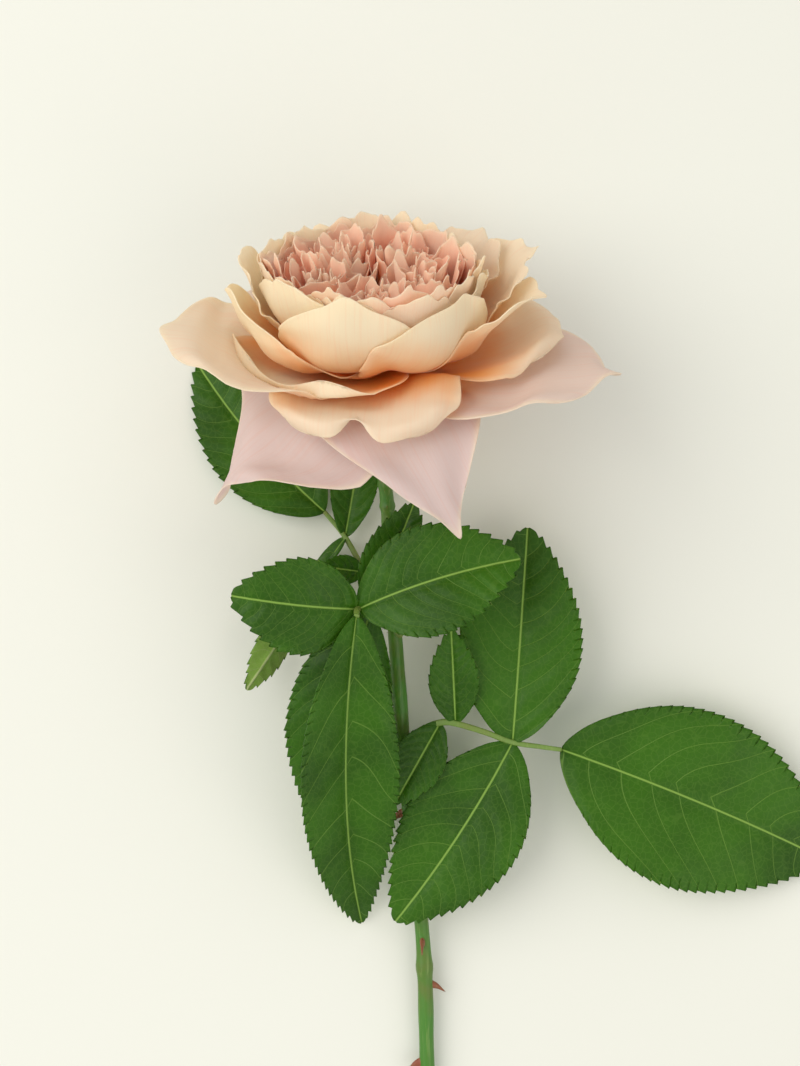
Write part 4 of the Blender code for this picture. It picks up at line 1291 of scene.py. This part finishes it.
def leaflet_points(plan, foot, across, along, settings, rng):
    """Places on a leaflet as offsets from the flower's base, its flat map in metres, its vein lines' phase,
    and each place's share of its length."""
    share = (along + 1) / 2
    spread = np.sign(across) * (1 - (1 - np.abs(across))**1.35)
    half = plan.width / 2 * leaf_width(share)
    teeth = tooth_count(plan, settings)
    tooth = np.mod(share * teeth + np.where(across < 0, 0.5, 0.0), 1.0)
    edge = smooth_step(0.8, 1.0, np.abs(spread)) * smooth_step(0.04, 0.14, share)
    edge = edge * smooth_step(1.0, 0.96, share)
    depth = settings.tooth_depth / MM * min(1.0, plan.width / 26)
    side = spread * half + np.sign(across) * depth * (tooth**1.3 - 0.45) * edge
    ahead = share + edge * tooth * 0.4 / teeth

    # Side veins leave the midrib in turn on its two sides and curve towards the tip.
    spacing = max(plan.length / 9, 2.4)
    run = 0.35 * np.abs(side) + 0.75 * side**2 / (plan.width / 2)
    drift = 0.16 * np.sin(7.3 * share + 2.0 * across + 1.7 * plan.station)
    drift = drift + 0.1 * np.sin(17 * share - 3 * across)
    lateral = (ahead * plan.length - run) / spacing + np.where(across < 0, 0.35, 0.0) + drift

    # The blade is quilted between its veins, sunk along its midrib and wavy at its edge.
    inner = np.sin(math.pi * np.clip(np.abs(spread), 0, 1))**0.6
    quilt = -0.16 * np.cos(2 * math.pi * lateral) * inner
    quilt = quilt * smooth_step(0.0, 0.1, share) * smooth_step(1.0, 0.9, share)
    trough = -0.45 * np.exp(-(side / 0.7)**2) * smooth_step(1.0, 0.7, share)
    phase = rng.uniform(0, 2 * math.pi, 2)
    ripple = 0.5 * np.sin(9 * share + phase[0] + across) + 0.3 * np.sin(21 * share + phase[1])
    ripple = plan.width / 45 * ripple * np.abs(spread)**2

    path, stations = midrib_path(plan, foot, MIDRIB_STEPS), np.linspace(0, 1, MIDRIB_STEPS + 1)
    path = np.stack([np.interp(ahead, stations, column) for column in path.T], -1)
    place, right, up = path[..., 0:3], path[..., 3:6], path[..., 6:9]
    fold = math.radians(plan.fold)
    raised = np.abs(side) * math.sin(fold) * (1 - 0.35 * np.abs(spread)) + quilt + trough + ripple
    points = place + right * (side * math.cos(fold))[..., None] + up * raised[..., None]
    return points, np.stack([side * MM, ahead * plan.length * MM], -1), lateral, ahead


class ROSE_OT_leaves(bpy.types.Operator):
    """Make the leaflets of the three compound leaves"""
    bl_idname = "rose.leaves"
    bl_label = "Leaflets"

    def execute(self, context):
        settings = context.scene.rose_leaf
        looks = [leaf_look("leaf_upper_side", settings, True), leaf_look("leaf_under_side", settings, False)]
        for seed, plan in enumerate(LEAFLETS):
            rng = np.random.default_rng(LEAF_SEED + seed)
            foot = PETIOLES[plan.petiole][1][plan.station]
            across, along, _ = cells(settings.columns, ROWS_PER_TOOTH * tooth_count(plan, settings))
            points, flat, lateral, share = leaflet_points(plan, foot, across, along, settings, rng)
            piece = sheet(plan.name + "_skin", resting(offset_to_row(points)), flat, settings.thickness,
                          looks, {"lateral": lateral, "share": share})
            stand_for(piece, "leaf", plan.name)
        return {"FINISHED"}


class ROSE_OT_stage(bpy.types.Operator):
    """Make the table, the lights and the camera"""
    bl_idname = "rose.stage"
    bl_label = "Table, light and camera"

    def execute(self, context):
        settings = context.scene.rose_stage
        scene = context.scene
        board = bmesh.new()
        bmesh.ops.create_grid(board, x_segments=4, y_segments=4, size=TABLE_HALF * MM,
                              matrix=Matrix.Translation((0, 0, -TABLE_DROP * MM)))
        mesh = bpy.data.meshes.new("table")
        board.to_mesh(mesh)
        board.free()
        mesh.materials.append(table_look(settings))
        table = bpy.data.objects.new("table", mesh)
        scene.collection.objects.link(table)

        scene.world = bpy.data.worlds.new("studio")
        scene.world.use_nodes = True
        sky = scene.world.node_tree.nodes["Background"]
        sky.inputs["Color"].default_value = linear(ROOM_LIGHT)
        sky.inputs["Strength"].default_value = ROOM_STRENGTH

        for name, power, place, size, colour in LAMPS:
            light = bpy.data.lights.new(name, "AREA")
            light.shape = "DISK"
            light.size = size * MM
            light.energy = getattr(settings, power)
            light.color = linear(colour)[:3]
            lamp = bpy.data.objects.new(name, light)
            lamp.location = Vector(place) * MM
            lamp.rotation_euler = (-lamp.location).to_track_quat("-Z", "Y").to_euler()
            scene.collection.objects.link(lamp)

        camera = bpy.data.cameras.new("camera")
        camera.sensor_fit = "AUTO"
        camera.sensor_width = SENSOR_WIDTH
        camera.lens = SENSOR_WIDTH * VIEW_DISTANCE / VIEW_HEIGHT
        camera.clip_start = 0.01
        camera.clip_end = 20.0
        holder = bpy.data.objects.new("camera", camera)
        holder.location = (Vector(FLOWER_BASE) + Vector(VIEW_OFFSET) + Vector((0, 0, VIEW_DISTANCE))) * MM
        scene.collection.objects.link(holder)
        scene.camera = holder
        scene.view_settings.view_transform = "Standard"
        return {"FINISHED"}


class ROSE_PT_panel(bpy.types.Panel):
    """The rose's pieces, in the order in which they are made"""
    bl_label = "Cut rose"
    bl_idname = "ROSE_PT_panel"
    bl_space_type = "VIEW_3D"
    bl_region_type = "UI"
    bl_category = "Rose"

    def draw(self, context):
        for operator in OPERATORS:
            self.layout.operator(operator.bl_idname)
        for group in ("rose_bloom", "rose_leaf", "rose_stem", "rose_stage"):
            settings = getattr(context.scene, group)
            box = self.layout.box()
            for key in settings.__annotations__:
                box.prop(settings, key)


SETTINGS = {
    "rose_bloom": RoseBloomSettings,
    "rose_leaf": RoseLeafSettings,
    "rose_stem": RoseStemSettings,
    "rose_stage": RoseStageSettings,
}
OPERATORS = (ROSE_OT_petals, ROSE_OT_heart, ROSE_OT_stem, ROSE_OT_petioles, ROSE_OT_leaves, ROSE_OT_stage)
CLASSES = (*SETTINGS.values(), *OPERATORS, ROSE_PT_panel)


def register():
    for cls in CLASSES:
        bpy.utils.register_class(cls)
    for name, cls in SETTINGS.items():
        setattr(bpy.types.Scene, name, bpy.props.PointerProperty(type=cls))


def unregister():
    for name in SETTINGS:
        delattr(bpy.types.Scene, name)
    for cls in reversed(CLASSES):
        bpy.utils.unregister_class(cls)


def main():
    register()
    bpy.ops.rose.petals()
    bpy.ops.rose.heart()
    bpy.ops.rose.stem()
    bpy.ops.rose.petioles()
    bpy.ops.rose.leaves()
    bpy.ops.rose.stage()


if __name__ == "__main__":
    main()
